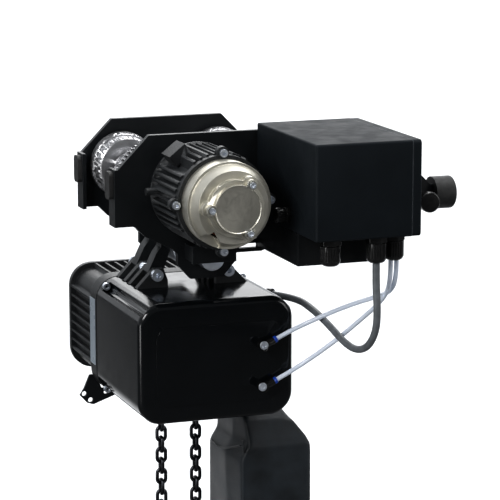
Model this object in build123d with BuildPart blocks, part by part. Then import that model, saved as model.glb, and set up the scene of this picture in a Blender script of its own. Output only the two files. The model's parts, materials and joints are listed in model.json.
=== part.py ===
from build123d import *
from math import asin, atan2, cos, degrees, hypot, pi, radians, sin, sqrt, tan
import os

# Electric chain hoist hanging under a powered beam trolley.
# X runs along the beam, Y across it (the drive side is -Y), Z is up.
# The origin is on the beam's centreline, on the upper face of its lower flange,
# where the wheels roll, above the middle of the suspension shaft.  Millimetres.

# ---------------------------------------------------------------- driving dimensions
PLATE_Y = 78.0            # inner face of each side plate
PLATE_T = 8.0             # side plate thickness
PLATE_OUT = PLATE_Y + PLATE_T
PLATE_TOP = 100.0
PLATE_END = 120.0         # half length of the trolley
ARM_END = 318.0           # far end of the long arm that carries the front buffer

WHEEL_X, WHEEL_Z = 68.0, 40.0
TREAD_R = 40.0            # wheel tread, standing on the flange at Z = 0
WHEEL_TEETH, DRIVE_TEETH, DRIVE_MODULE = 47, 21, 2.0
AXLE_R = 10.0

SHAFT_Z, SHAFT_R = -62.0, 16.0
SHAFT_HALF = 112.0
SLEEVE_R = 27.0

MOTOR_X, MOTOR_Z = -22.0, 30.4        # travel motor axis, 24 mm from the drive shaft's
TRAVEL_PINION_TEETH, TRAVEL_GEAR_TEETH, TRAVEL_MODULE = 12, 52, 0.75

BOX_X0, BOX_X1 = 69.0, 198.0          # control box
BOX_Y0, BOX_Y1 = -300.0, -88.0
BOX_Z0, BOX_Z1 = -12.0, 110.0
BOX_WALL = 2.5
TRAY_Y, TRAY_Z = -238.0, -53.0        # front and bottom of the box's carrier tray

BODY_HALF, BODY_TOP, BODY_BOTTOM = 107.0, -113.0, -275.0   # hoist body
BODY_MID = (BODY_TOP + BODY_BOTTOM) / 2
BODY_FRONT, SEAM_Y, BAND_Y = -127.0, 65.0, 92.0
CORNER_R = 32.0
REAR_HALF_X, REAR_HALF_Z, REAR_MID = 107.0, 75.0, -193.0   # finned motor cover
RIM_Y0, RIM_Y1 = 190.0, 205.0

HOIST_X, HOIST_Z = 0.0, -186.0        # hoist motor axis
CHAIN_Y = 36.0                        # plane of both chain falls
WIRE_R, PITCH, LINK_R = 2.45, 15.0, 6.0
WHEEL_ANGLE = 36.0                    # one link on the five-pocket load wheel
LOAD_R = PITCH / 2 / sin(radians(WHEEL_ANGLE / 2))
FALL_X = 24.73                        # each fall's distance from the hook line
LOAD_X, LOAD_Z = FALL_X + LOAD_R, -200.0
ANCHOR_Z = -264.0                     # top of the dead-end fall
SHEAVE_Z = -474.0                     # axle of the bottom block
HOOK_Z = -590.0                       # centre of the hook's bowl

TUBE_R, CABLE_R = 3.0, 4.75

os.makedirs("parts", exist_ok=True)


# ---------------------------------------------------------------- shared shapes
def facing(y):
    """Plane at depth y whose sketch reads X to the right and Z up; extrusions come forward."""
    return Plane.XZ.offset(-y)


def gear_outline(teeth, module, phase=0.0):
    """Toothed disc about the sketch's origin, its teeth thinned for backlash."""
    pitch_r = module * teeth / 2
    step = 360 / teeth
    points = []
    for i in range(teeth):
        centre = phase + i * step
        for radius, share in ((pitch_r - 1.25 * module, -0.34), (pitch_r + 0.9 * module, -0.1),
                              (pitch_r + 0.9 * module, 0.1), (pitch_r - 1.25 * module, 0.34)):
            angle = radians(centre + share * step)
            points.append((radius * cos(angle), radius * sin(angle)))
    with BuildLine() as line:
        Polyline(*points, close=True)
    make_face(line.edges())


def outline(*points):
    """Closed straight-sided face through the points."""
    with BuildLine() as line:
        Polyline(*points, close=True)
    make_face(line.edges())


def mirrored(points):
    """The points, followed by their images across the vertical axis, as one closed outline."""
    return list(points) + [(-x, z) for x, z in reversed(points) if abs(x) > 0.01]


# ================================================================ TROLLEY
# ---------------------------------------------------------------- side plates
LOBE_X, LOBE_Z = 40.0, -92.0
HALF_OUTLINE = [(0, PLATE_TOP), (78, PLATE_TOP), (PLATE_END, 57), (PLATE_END, -18), (98, -18),
                (84, -32), (45, -52), (LOBE_X, -58), (LOBE_X, -72), (22, LOBE_Z), (0, LOBE_Z)]
ARM = [(PLATE_END - 5, 30), (ARM_END - 16, 30), (ARM_END, 14), (ARM_END, -20), (PLATE_END - 5, -20)]
STRUT = [(30, -44), (92, -44), (92, -56), (76, -61), (30, -61)]
RETURN_DEPTH, RETURN_T = 26.0, 5.0

with BuildPart() as front_side_plate:
    with BuildSketch(facing(-PLATE_Y)):
        outline(*mirrored(HALF_OUTLINE))
        outline(*ARM)
        outline(*STRUT)
        with Locations((58, -53)):
            Rectangle(26, 6, mode=Mode.SUBTRACT)
    extrude(amount=PLATE_T)
    # folded ends that carry the buffers
    with Locations((-PLATE_END - RETURN_T / 2 + 0.5, -PLATE_OUT + RETURN_DEPTH / 2, 19.5)):
        Box(RETURN_T, RETURN_DEPTH, 75)
    with Locations((ARM_END + RETURN_T / 2 - 0.5, -PLATE_OUT + 15, -3)):
        Box(RETURN_T, 30, 34)
    with BuildSketch(facing(-PLATE_Y)):
        with Locations((-WHEEL_X, WHEEL_Z), (WHEEL_X, WHEEL_Z)):
            Circle(7)
        with Locations((0, SHAFT_Z)):
            Circle(SHAFT_R + 0.05)
        with Locations((0, WHEEL_Z)):
            Circle(15)
    extrude(amount=PLATE_T, mode=Mode.SUBTRACT)
front_side_plate.part.label = "front_side_plate"
export_step(front_side_plate.part, "parts/front_side_plate.step")

with BuildPart() as rear_side_plate:
    with BuildSketch(facing(PLATE_OUT)):
        outline(*mirrored(HALF_OUTLINE))
    extrude(amount=PLATE_T)
    for side in (-1, 1):
        with Locations((side * (PLATE_END + RETURN_T / 2 - 0.5), PLATE_OUT - RETURN_DEPTH / 2, 19.5)):
            Box(RETURN_T, RETURN_DEPTH, 75)
    with BuildSketch(facing(PLATE_OUT)):
        with Locations((-WHEEL_X, WHEEL_Z), (WHEEL_X, WHEEL_Z)):
            Circle(7)
        with Locations((0, SHAFT_Z)):
            Circle(SHAFT_R + 0.05)
    extrude(amount=PLATE_T, mode=Mode.SUBTRACT)
rear_side_plate.part.label = "rear_side_plate"
export_step(rear_side_plate.part, "parts/rear_side_plate.step")

# ---------------------------------------------------------------- wheels and their axles
TREAD_Y0, TREAD_Y1 = 30.0, 55.0
FLANGE_Y1 = 67.0
FLANGE_R = 44.2                       # just inside the roots of the wheels' teeth

with BuildPart() as wheel_axles:
    for side in (-1, 1):
        # shoulder against the plate, journal through the wheel, tail through the plate
        with BuildSketch(facing(side * PLATE_Y)):
            with Locations((-WHEEL_X, WHEEL_Z), (WHEEL_X, WHEEL_Z)):
                Circle(14)
        extrude(amount=side * (PLATE_Y - FLANGE_Y1 - 1))
        with BuildSketch(facing(side * 70)):
            with Locations((-WHEEL_X, WHEEL_Z), (WHEEL_X, WHEEL_Z)):
                Circle(AXLE_R)
        extrude(amount=side * (70 - TREAD_Y0 + 2))
        with BuildSketch(facing(side * PLATE_OUT)):
            with Locations((-WHEEL_X, WHEEL_Z), (WHEEL_X, WHEEL_Z)):
                Circle(6.95)
        extrude(amount=side * (PLATE_T + 2))
    # the rear pair ends in threads and nuts, the front pair is staked flush under the gearcase
    with BuildSketch(facing(PLATE_OUT + 12)):
        with Locations((-WHEEL_X, WHEEL_Z), (WHEEL_X, WHEEL_Z)):
            Circle(6.95)
    extrude(amount=13)
    with BuildSketch(facing(PLATE_OUT + 9)):
        with Locations((-WHEEL_X, WHEEL_Z), (WHEEL_X, WHEEL_Z)):
            RegularPolygon(11, 6)
    extrude(amount=9)
wheel_axles.part.label = "wheel_axles"
export_step(wheel_axles.part, "parts/wheel_axles.step")


def wheel_turning(side):
    """Half section of a flanged wheel, as (radius, distance from the beam's centre) points."""
    bore = AXLE_R + 0.05
    return [(bore, TREAD_Y0), (18, TREAD_Y0), (20, TREAD_Y0 + 4), (TREAD_R - 3, TREAD_Y0 + 4),
            (TREAD_R, TREAD_Y0 + 6), (TREAD_R, TREAD_Y1 + 1), (FLANGE_R, TREAD_Y1 + 3),
            (FLANGE_R, FLANGE_Y1), (20, FLANGE_Y1), (20, FLANGE_Y1 + 0.7), (bore, FLANGE_Y1 + 0.7)]


with BuildPart() as drive_wheel_left:
    with BuildSketch(Plane.XY.offset(WHEEL_Z)):
        outline(*[(-WHEEL_X + r, -y) for r, y in wheel_turning(-1)])
    revolve(axis=Axis((-WHEEL_X, 0, WHEEL_Z), (0, 1, 0)))
    with BuildSketch(Plane((-WHEEL_X, -TREAD_Y1 - 4, WHEEL_Z), (1, 0, 0), (0, -1, 0))):
        gear_outline(WHEEL_TEETH, DRIVE_MODULE)
        Circle(TREAD_R - 1, mode=Mode.SUBTRACT)
    extrude(amount=FLANGE_Y1 - TREAD_Y1 - 4)
drive_wheel_left.part.label = "drive_wheel_left"
export_step(drive_wheel_left.part, "parts/drive_wheel_left.step")

with BuildPart() as drive_wheel_right:
    with BuildSketch(Plane.XY.offset(WHEEL_Z)):
        outline(*[(WHEEL_X + r, -y) for r, y in wheel_turning(-1)])
    revolve(axis=Axis((WHEEL_X, 0, WHEEL_Z), (0, 1, 0)))
    with BuildSketch(Plane((WHEEL_X, -TREAD_Y1 - 4, WHEEL_Z), (1, 0, 0), (0, -1, 0))):
        gear_outline(WHEEL_TEETH, DRIVE_MODULE)
        Circle(TREAD_R - 1, mode=Mode.SUBTRACT)
    extrude(amount=FLANGE_Y1 - TREAD_Y1 - 4)
drive_wheel_right.part.label = "drive_wheel_right"
export_step(drive_wheel_right.part, "parts/drive_wheel_right.step")

with BuildPart() as idler_wheel_left:
    with BuildSketch(Plane.XY.offset(WHEEL_Z)):
        outline(*[(-WHEEL_X + r, y) for r, y in wheel_turning(1)])
    revolve(axis=Axis((-WHEEL_X, 0, WHEEL_Z), (0, 1, 0)))
idler_wheel_left.part.label = "idler_wheel_left"
export_step(idler_wheel_left.part, "parts/idler_wheel_left.step")

with BuildPart() as idler_wheel_right:
    with BuildSketch(Plane.XY.offset(WHEEL_Z)):
        outline(*[(WHEEL_X + r, y) for r, y in wheel_turning(1)])
    revolve(axis=Axis((WHEEL_X, 0, WHEEL_Z), (0, 1, 0)))
idler_wheel_right.part.label = "idler_wheel_right"
export_step(idler_wheel_right.part, "parts/idler_wheel_right.step")

# ---------------------------------------------------------------- suspension shaft
with BuildPart() as suspension_shaft:
    with BuildSketch(facing(SHAFT_HALF)):
        with Locations((0, SHAFT_Z)):
            Circle(SHAFT_R)
    extrude(amount=2 * SHAFT_HALF)
    chamfer(suspension_shaft.edges().filter_by(GeomType.CIRCLE), length=1.5)
suspension_shaft.part.label = "suspension_shaft"
export_step(suspension_shaft.part, "parts/suspension_shaft.step")

# keepers that bridge each end of the shaft, bolted to the side plates through two feet
KEEPER_T = 5.0
with BuildPart() as shaft_keepers:
    for side in (-1, 1):
        with BuildSketch(facing(side * (SHAFT_HALF + 0.5 + KEEPER_T))):
            outline((-30, -66), (30, -66), (30, -46), (22, -38), (-22, -38), (-30, -46))
        extrude(amount=side * KEEPER_T)
        with BuildSketch(facing(side * (SHAFT_HALF + 0.6))):
            with Locations((-25, -54), (25, -54)):
                Rectangle(10, 20)
        extrude(amount=side * (SHAFT_HALF + 0.6 - PLATE_OUT))
shaft_keepers.part.label = "shaft_keepers"
export_step(shaft_keepers.part, "parts/shaft_keepers.step")

# spacer tubes that centre the hoist between the plates
with BuildPart() as shaft_spacers:
    for y0, y1 in ((-PLATE_Y, -31.0), (63.0, PLATE_Y)):
        with BuildSketch(facing(y1)):
            with Locations((0, SHAFT_Z)):
                Circle(21)
                Circle(SHAFT_R + 0.1, mode=Mode.SUBTRACT)
        extrude(amount=y1 - y0)
shaft_spacers.part.label = "shaft_spacers"
export_step(shaft_spacers.part, "parts/shaft_spacers.step")

# ---------------------------------------------------------------- buffers
with BuildPart() as buffers:
    with BuildSketch(Plane.YZ.offset(ARM_END + RETURN_T - 0.5)):
        with Locations((-PLATE_OUT + 8, 1)):
            Circle(22)
    extrude(amount=30)
    fillet(buffers.edges().filter_by(GeomType.CIRCLE).sort_by(Axis.X)[-1], radius=4)
    for x, direction in ((-PLATE_END - RETURN_T + 0.5, -1), (PLATE_END + RETURN_T - 0.5, 1)):
        with BuildSketch(Plane.YZ.offset(x)):
            with Locations((PLATE_OUT - 14, 36)):
                RectangleRounded(20, 36, 6)
        extrude(amount=direction * 6)
    with BuildSketch(Plane.YZ.offset(-PLATE_END - RETURN_T + 0.5)):
        with Locations((-PLATE_OUT + 14, 36)):
            RectangleRounded(20, 36, 6)
    extrude(amount=-6)
buffers.part.label = "buffers"
export_step(buffers.part, "parts/buffers.step")

# round knob-like plug socket at the end of the arm
with BuildPart() as arm_end_socket:
    with BuildSketch(facing(-PLATE_OUT)):
        with Locations((ARM_END - 15, -6)):
            Circle(11)
    extrude(amount=16)
    with BuildSketch(facing(-PLATE_OUT - 16)):
        with Locations((ARM_END - 11, -6)):
            Circle(14)
    extrude(amount=11)
    fillet(arm_end_socket.edges().filter_by(GeomType.CIRCLE).sort_by(Axis.Y)[0], radius=2)
arm_end_socket.part.label = "arm_end_socket"
export_step(arm_end_socket.part, "parts/arm_end_socket.step")

# ---------------------------------------------------------------- travel gearbox
CASE_Y = -108.0
MOTOR_AT = (MOTOR_X, MOTOR_Z)
with BuildPart() as travel_gearcase:
    with BuildSketch(facing(-PLATE_OUT)):
        with Locations(MOTOR_AT):
            Circle(50)
        with Locations((0, WHEEL_Z)):
            Circle(32)
    extrude(amount=-CASE_Y - PLATE_OUT)
    with BuildSketch(facing(-PLATE_OUT)):
        with Locations((0, WHEEL_Z)):
            Circle(22)
        with Locations(MOTOR_AT):
            Circle(12)
    extrude(amount=14, mode=Mode.SUBTRACT)
    with BuildSketch(facing(-PLATE_OUT)):
        with Locations(MOTOR_AT):
            Circle(9.5)
    extrude(amount=30, mode=Mode.SUBTRACT)
travel_gearcase.part.label = "travel_gearcase"
export_step(travel_gearcase.part, "parts/travel_gearcase.step")

# output shaft: gear in the case, pinion between the two toothed wheels
with BuildPart() as travel_output_shaft:
    with BuildSketch(Plane((0, -PLATE_OUT - 3, WHEEL_Z), (1, 0, 0), (0, -1, 0))):
        gear_outline(TRAVEL_GEAR_TEETH, TRAVEL_MODULE, phase=degrees(atan2(MOTOR_Z - WHEEL_Z, MOTOR_X)))
    extrude(amount=7)
    with BuildSketch(Plane((0, -FLANGE_Y1 + 9, WHEEL_Z), (1, 0, 0), (0, -1, 0))):
        gear_outline(DRIVE_TEETH, DRIVE_MODULE)
    extrude(amount=8.5)
    with BuildSketch(facing(-50)):
        with Locations((0, WHEEL_Z)):
            Circle(8)
    extrude(amount=PLATE_OUT + 12 - 50)
travel_output_shaft.part.label = "travel_output_shaft"
export_step(travel_output_shaft.part, "parts/travel_output_shaft.step")

# ball bearings of the travel drive
with BuildPart() as travel_bearings:
    with BuildSketch(facing(-PLATE_Y)):
        with Locations((0, WHEEL_Z)):
            Circle(15)
            Circle(8.05, mode=Mode.SUBTRACT)
    extrude(amount=PLATE_T)
    for y1 in (-113.0, -197.0):
        with BuildSketch(facing(y1)):
            with Locations(MOTOR_AT):
                Circle(16)
                Circle(7.05, mode=Mode.SUBTRACT)
        extrude(amount=8)
travel_bearings.part.label = "travel_bearings"
export_step(travel_bearings.part, "parts/travel_bearings.step")

# ---------------------------------------------------------------- travel motor
STATOR_Y0, STATOR_Y1 = -205.0, -112.0
FIN_OUT, FIN_ROOT = 61.0, 53.0
with BuildPart() as travel_motor_housing:
    # flange ring on the gearcase
    with BuildSketch(facing(CASE_Y)):
        with Locations(MOTOR_AT):
            Circle(62)
    extrude(amount=5)
    with BuildSketch(facing(STATOR_Y1)):
        with Locations(MOTOR_AT):
            Circle(FIN_ROOT)
    extrude(amount=STATOR_Y1 - STATOR_Y0)
    # cooling fins along the axis, all parallel to the mounting sides as a die casting has them
    with BuildSketch(facing(STATOR_Y1 - 1)):
        with Locations(*[(MOTOR_X, MOTOR_Z + 8.6 * k) for k in range(-4, 5)]):
            Rectangle(2 * FIN_OUT, 3)
        with Locations(*[(MOTOR_X + 8.6 * k, MOTOR_Z) for k in range(-4, 5)]):
            Rectangle(3, 2 * FIN_OUT)
        with Locations(MOTOR_AT):
            Circle(FIN_OUT + 1.5, mode=Mode.INTERSECT)
    extrude(amount=STATOR_Y1 - STATOR_Y0 - 1)
    with BuildSketch(facing(STATOR_Y1 + 6)):
        with Locations(MOTOR_AT):
            Circle(46)
    extrude(amount=STATOR_Y1 - STATOR_Y0 + 7, mode=Mode.SUBTRACT)
    # rear wall with the bearing seat
    with BuildSketch(facing(CASE_Y)):
        with Locations(MOTOR_AT):
            Circle(47)
            Circle(16, mode=Mode.SUBTRACT)
    extrude(amount=6)
    with BuildSketch(facing(CASE_Y - 5)):
        with Locations(MOTOR_AT):
            Circle(22)
            Circle(16, mode=Mode.SUBTRACT)
    extrude(amount=8)
    # ribbed cable entry cast on the upper left, and a drain plug boss on the left
    with BuildSketch(facing(-122)):
        with Locations((MOTOR_X - 36, MOTOR_Z + 53)):
            Rectangle(26, 16, rotation=38)
        with Locations(MOTOR_AT):
            Circle(FIN_ROOT - 1, mode=Mode.SUBTRACT)
    extrude(amount=34)
    with BuildSketch(Plane.YZ.offset(MOTOR_X - FIN_ROOT + 1)):
        with Locations((-128, MOTOR_Z + 4)):
            Circle(5)
    extrude(amount=-22)
travel_motor_housing.part.label = "travel_motor_housing"
export_step(travel_motor_housing.part, "parts/travel_motor_housing.step")

with BuildPart() as travel_stator:
    with BuildSketch(facing(-130)):
        with Locations(MOTOR_AT):
            Circle(46)
            Circle(26, mode=Mode.SUBTRACT)
    extrude(amount=50)
    for y1 in (-121.5, -180.0):
        with BuildSketch(facing(y1)):
            with Locations(MOTOR_AT):
                Circle(43)
                Circle(29, mode=Mode.SUBTRACT)
        extrude(amount=8.5)
travel_stator.part.label = "travel_stator"
export_step(travel_stator.part, "parts/travel_stator.step")

# rotor with its shaft: pinion at the gearcase end, square for the brake disc at the other
with BuildPart() as travel_rotor:
    with BuildSketch(facing(-131)):
        with Locations(MOTOR_AT):
            Circle(25.6)
    extrude(amount=48)
    with BuildSketch(facing(-99)):
        with Locations(MOTOR_AT):
            Circle(7)
    extrude(amount=130)
    pinion_phase = degrees(atan2(WHEEL_Z - MOTOR_Z, -MOTOR_X)) + 180 / TRAVEL_PINION_TEETH
    with BuildSketch(Plane((MOTOR_X, -PLATE_OUT - 3, MOTOR_Z), (1, 0, 0), (0, -1, 0))):
        gear_outline(TRAVEL_PINION_TEETH, TRAVEL_MODULE, phase=pinion_phase)
    extrude(amount=11)
travel_rotor.part.label = "travel_rotor"
export_step(travel_rotor.part, "parts/travel_rotor.step")

with BuildPart() as travel_brake_disc:
    with BuildSketch(facing(-216)):
        with Locations(MOTOR_AT):
            Circle(38)
            Circle(7, mode=Mode.SUBTRACT)
    extrude(amount=7)
travel_brake_disc.part.label = "travel_brake_disc"
export_step(travel_brake_disc.part, "parts/travel_brake_disc.step")

# black end shield with four bolt ears
SHIELD_Y0, SHIELD_Y1 = -214.0, -205.0
EAR_R = 62.5
with BuildPart() as travel_end_shield:
    with BuildSketch(facing(SHIELD_Y1)):
        with Locations(MOTOR_AT):
            Circle(60)
            with PolarLocations(EAR_R, 4):
                Circle(8)
    extrude(amount=SHIELD_Y1 - SHIELD_Y0)
    with BuildSketch(facing(SHIELD_Y1 + 8)):
        with Locations(MOTOR_AT):
            Circle(22)
    extrude(amount=8)
    with BuildSketch(facing(SHIELD_Y1 + 8)):
        with Locations(MOTOR_AT):
            Circle(16)
    extrude(amount=8, mode=Mode.SUBTRACT)
    with BuildSketch(facing(SHIELD_Y1 + 8)):
        with Locations(MOTOR_AT):
            Circle(10)
    extrude(amount=40, mode=Mode.SUBTRACT)
    with BuildSketch(facing(SHIELD_Y1 + 1)):
        with Locations(MOTOR_AT):
            with PolarLocations(EAR_R, 4):
                Circle(3.05)
    extrude(amount=20, mode=Mode.SUBTRACT)
travel_end_shield.part.label = "travel_end_shield"
export_step(travel_end_shield.part, "parts/travel_end_shield.step")

# cast aluminium brake housing, stepping in to a three-lobed pad
BRAKE_R, LOBE_AT = 55.0, 34.5
CAP_ANGLES = (59, 179, -64)
with BuildPart() as travel_brake_housing:
    with BuildSketch(facing(SHIELD_Y0)):
        with Locations(MOTOR_AT):
            Circle(BRAKE_R)
    extrude(amount=24)
    with BuildSketch(facing(SHIELD_Y0 - 24)):
        with Locations(MOTOR_AT):
            Circle(BRAKE_R - 3)
    with BuildSketch(facing(SHIELD_Y0 - 40)):
        with Locations(MOTOR_AT):
            Circle(BRAKE_R - 9)
    loft()
    with BuildSketch(facing(SHIELD_Y0 - 38)):
        with Locations(MOTOR_AT):
            Circle(36)
            for angle in CAP_ANGLES:
                with Locations(Location((LOBE_AT * cos(radians(angle)), LOBE_AT * sin(radians(angle))))):
                    Circle(10)
    extrude(amount=11)
    with BuildSketch(facing(SHIELD_Y0)):
        with Locations(MOTOR_AT):
            Circle(43)
    extrude(amount=38, mode=Mode.SUBTRACT)
    # notch for the release lever at the lower left
    with Locations((MOTOR_X - 28, SHIELD_Y0 - 32, MOTOR_Z - 45)):
        Box(20, 20, 26, rotation=(0, -30, 0), mode=Mode.SUBTRACT)
travel_brake_housing.part.label = "travel_brake_housing"
export_step(travel_brake_housing.part, "parts/travel_brake_housing.step")

CAP_Y = SHIELD_Y0 - 49
with BuildPart() as travel_brake_cap:
    with BuildSketch(facing(CAP_Y)):
        with Locations(MOTOR_AT):
            Circle(31)
            for angle in CAP_ANGLES:
                with Locations(Location((LOBE_AT * cos(radians(angle)), LOBE_AT * sin(radians(angle))))):
                    Circle(7)
    extrude(amount=9)
travel_brake_cap.part.label = "travel_brake_cap"
export_step(travel_brake_cap.part, "parts/travel_brake_cap.step")

# brake magnet, its coil and the friction ring
with BuildPart() as travel_brake_magnet:
    with BuildSketch(facing(-225)):
        with Locations(MOTOR_AT):
            Circle(41)
            Circle(12, mode=Mode.SUBTRACT)
    extrude(amount=24)
travel_brake_magnet.part.label = "travel_brake_magnet"
export_step(travel_brake_magnet.part, "parts/travel_brake_magnet.step")

# screws of the end shield and of the cap
with BuildPart() as travel_motor_screws:
    with BuildSketch(facing(SHIELD_Y0)):
        with Locations(MOTOR_AT):
            with PolarLocations(EAR_R, 4):
                Circle(5)
    extrude(amount=5)
    with BuildSketch(facing(SHIELD_Y1)):
        with Locations(MOTOR_AT):
            with PolarLocations(EAR_R, 4):
                Circle(3)
    extrude(amount=12)
    with BuildSketch(facing(CAP_Y - 9)):
        with Locations(MOTOR_AT):
            for angle in CAP_ANGLES:
                with Locations(Location((LOBE_AT * cos(radians(angle)), LOBE_AT * sin(radians(angle))))):
                    Circle(4)
    extrude(amount=3)
    with BuildSketch(facing(SHIELD_Y0 - 5)):
        with Locations(MOTOR_AT):
            with PolarLocations(EAR_R, 4):
                RegularPolygon(2.6, 6)
    extrude(amount=3, both=True, mode=Mode.SUBTRACT)
    with BuildSketch(facing(CAP_Y - 12)):
        with Locations(MOTOR_AT):
            for angle in CAP_ANGLES:
                with Locations(Location((LOBE_AT * cos(radians(angle)), LOBE_AT * sin(radians(angle))))):
                    RegularPolygon(2.2, 6)
    extrude(amount=2, both=True, mode=Mode.SUBTRACT)
travel_motor_screws.part.label = "travel_motor_screws"
export_step(travel_motor_screws.part, "parts/travel_motor_screws.step")

# ---------------------------------------------------------------- control box
BOX_MID_X, BOX_MID_Y, BOX_MID_Z = (BOX_X0 + BOX_X1) / 2, (BOX_Y0 + BOX_Y1) / 2, (BOX_Z0 + BOX_Z1) / 2
GLANDS = ((96.0, -280.0), (158.0, -280.0), (186.0, -270.0))
with BuildPart() as control_box:
    with Locations((BOX_MID_X, BOX_MID_Y, BOX_MID_Z)):
        Box(BOX_X1 - BOX_X0, BOX_Y1 - BOX_Y0, BOX_Z1 - BOX_Z0)
    fillet(control_box.edges().filter_by(Axis.X), radius=3)
    fillet(control_box.faces().sort_by(Axis.X)[0].edges(), radius=2.5)
    with Locations((BOX_MID_X + BOX_WALL, BOX_MID_Y, BOX_MID_Z)):
        Box(BOX_X1 - BOX_X0, BOX_Y1 - BOX_Y0 - 2 * BOX_WALL, BOX_Z1 - BOX_Z0 - 2 * BOX_WALL,
            mode=Mode.SUBTRACT)
    with BuildSketch(Plane.XY.offset(BOX_Z0)):
        with Locations(*GLANDS):
            Circle(8.1)
    extrude(amount=BOX_WALL, mode=Mode.SUBTRACT)
control_box.part.label = "control_box"
export_step(control_box.part, "parts/control_box.step")

LID_DEPTH = 12.0
with BuildPart() as control_box_lid:
    with Locations((BOX_X1 + LID_DEPTH / 2, BOX_MID_Y, BOX_MID_Z)):
        Box(LID_DEPTH, BOX_Y1 - BOX_Y0, BOX_Z1 - BOX_Z0)
    fillet(control_box_lid.edges().filter_by(Axis.X), radius=5)
    with Locations((BOX_X1 + LID_DEPTH / 2 - 3, BOX_MID_Y, BOX_MID_Z)):
        Box(LID_DEPTH, BOX_Y1 - BOX_Y0 - 8, BOX_Z1 - BOX_Z0 - 8, mode=Mode.SUBTRACT)
    with Locations((BOX_X1 + LID_DEPTH + 2, BOX_MID_Y, BOX_MID_Z + 6)):
        Box(4, BOX_Y1 - BOX_Y0 - 26, BOX_Z1 - BOX_Z0 - 40)
control_box_lid.part.label = "control_box_lid"
export_step(control_box_lid.part, "parts/control_box_lid.step")

# folded tray that carries the box off the front side plate
TRAY_X1 = 170.0
with BuildPart() as box_carrier:
    tray_y1 = -PLATE_OUT
    with Locations(((BOX_X0 + TRAY_X1) / 2, (TRAY_Y + tray_y1) / 2, (TRAY_Z + BOX_Z0) / 2)):
        Box(TRAY_X1 - BOX_X0, tray_y1 - TRAY_Y, BOX_Z0 - TRAY_Z)
    with Locations(((BOX_X0 + TRAY_X1) / 2, (TRAY_Y + tray_y1) / 2, (TRAY_Z + BOX_Z0) / 2 + 3)):
        Box(TRAY_X1 - BOX_X0 - 6, tray_y1 - TRAY_Y - 6, BOX_Z0 - TRAY_Z, mode=Mode.SUBTRACT)
    # lower rear edge cut away below the plate's arm
    with BuildSketch(Plane.YZ.offset(TRAY_X1)):
        outline((-150, TRAY_Z), (-PLATE_OUT, TRAY_Z), (-PLATE_OUT, TRAY_Z + 9))
    extrude(amount=-(TRAY_X1 - BOX_X0 - 0.2), mode=Mode.SUBTRACT)
box_carrier.part.label = "box_carrier"
export_step(box_carrier.part, "parts/box_carrier.step")

# cable glands: the first is free, its bore open for a supply cable
GLAND_Z = -46.0
FREE_BORE_R = 5.0
with BuildPart() as box_glands:
    for x, y in GLANDS:
        with BuildSketch(Plane.XY.offset(BOX_Z0 + 8)):
            with Locations((x, y)):
                Circle(8)
        extrude(amount=-9)
        with BuildSketch(Plane.XY.offset(BOX_Z0 - 0.05)):
            with Locations((x, y)):
                Circle(14)
        extrude(amount=-9)
        with BuildSketch(Plane.XY.offset(BOX_Z0 - 9)):
            with Locations((x, y)):
                Circle(12)
        extrude(amount=-(BOX_Z0 - 9 - GLAND_Z - 5))
        with BuildSketch(Plane.XY.offset(GLAND_Z + 5)):
            with Locations((x, y)):
                Circle(12.5)
        extrude(amount=-5, taper=25)
    # the first gland's bore is open
    with Locations((*GLANDS[0], (GLAND_Z + BOX_Z0) / 2)):
        Cylinder(FREE_BORE_R, BOX_Z0 - GLAND_Z + 20, mode=Mode.SUBTRACT)
    # a fourth gland sits on the box's closed side, by the travel motor
    with BuildSketch(Plane.YZ.offset(BOX_X0 - 0.05)):
        with Locations((-205, 8)):
            RegularPolygon(11, 6)
    extrude(amount=-8)
    with BuildSketch(Plane.YZ.offset(BOX_X0 - 8)):
        with Locations((-205, 8)):
            Circle(9)
    extrude(amount=-12, taper=8)
box_glands.part.label = "box_glands"
export_step(box_glands.part, "parts/box_glands.step")

# mounting rail on the box's closed side with three contactors, and a transformer on the floor
RAIL_X = BOX_X0 + BOX_WALL
with BuildPart() as control_devices:
    with BuildSketch(facing(-110)):
        outline((RAIL_X, 25), (RAIL_X + 7.5, 25), (RAIL_X + 7.5, 26.5), (RAIL_X + 1.5, 26.5),
                (RAIL_X + 1.5, 58.5), (RAIL_X + 7.5, 58.5), (RAIL_X + 7.5, 60), (RAIL_X, 60))
    extrude(amount=180)
    for y in (-265.0, -216.0, -167.0):
        with Locations((RAIL_X + 8 + 32, y, 43)):
            Box(64, 45, 68)
        with Locations((RAIL_X + 8 + 68, y, 43)):
            Box(9, 36, 40)
    with Locations((BOX_MID_X + 14, -118, 16)):
        Box(60, 44, 50)
    with Locations((BOX_MID_X + 14, -118, 46)):
        Box(40, 40, 11)
control_devices.part.label = "control_devices"
export_step(control_devices.part, "parts/control_devices.step")

# ================================================================ HOIST
# ---------------------------------------------------------------- suspension
SLEEVE_Y0, SLEEVE_Y1 = -30.0, 62.0
with BuildPart() as suspension_sleeve:
    with BuildSketch(facing(SLEEVE_Y1)):
        with Locations((0, SHAFT_Z)):
            Circle(SLEEVE_R)
            Circle(SHAFT_R + 0.06, mode=Mode.SUBTRACT)
    extrude(amount=SLEEVE_Y1 - SLEEVE_Y0)
    chamfer(suspension_sleeve.edges().filter_by(GeomType.CIRCLE), length=1)
suspension_sleeve.part.label = "suspension_sleeve"
export_step(suspension_sleeve.part, "parts/suspension_sleeve.step")

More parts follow.
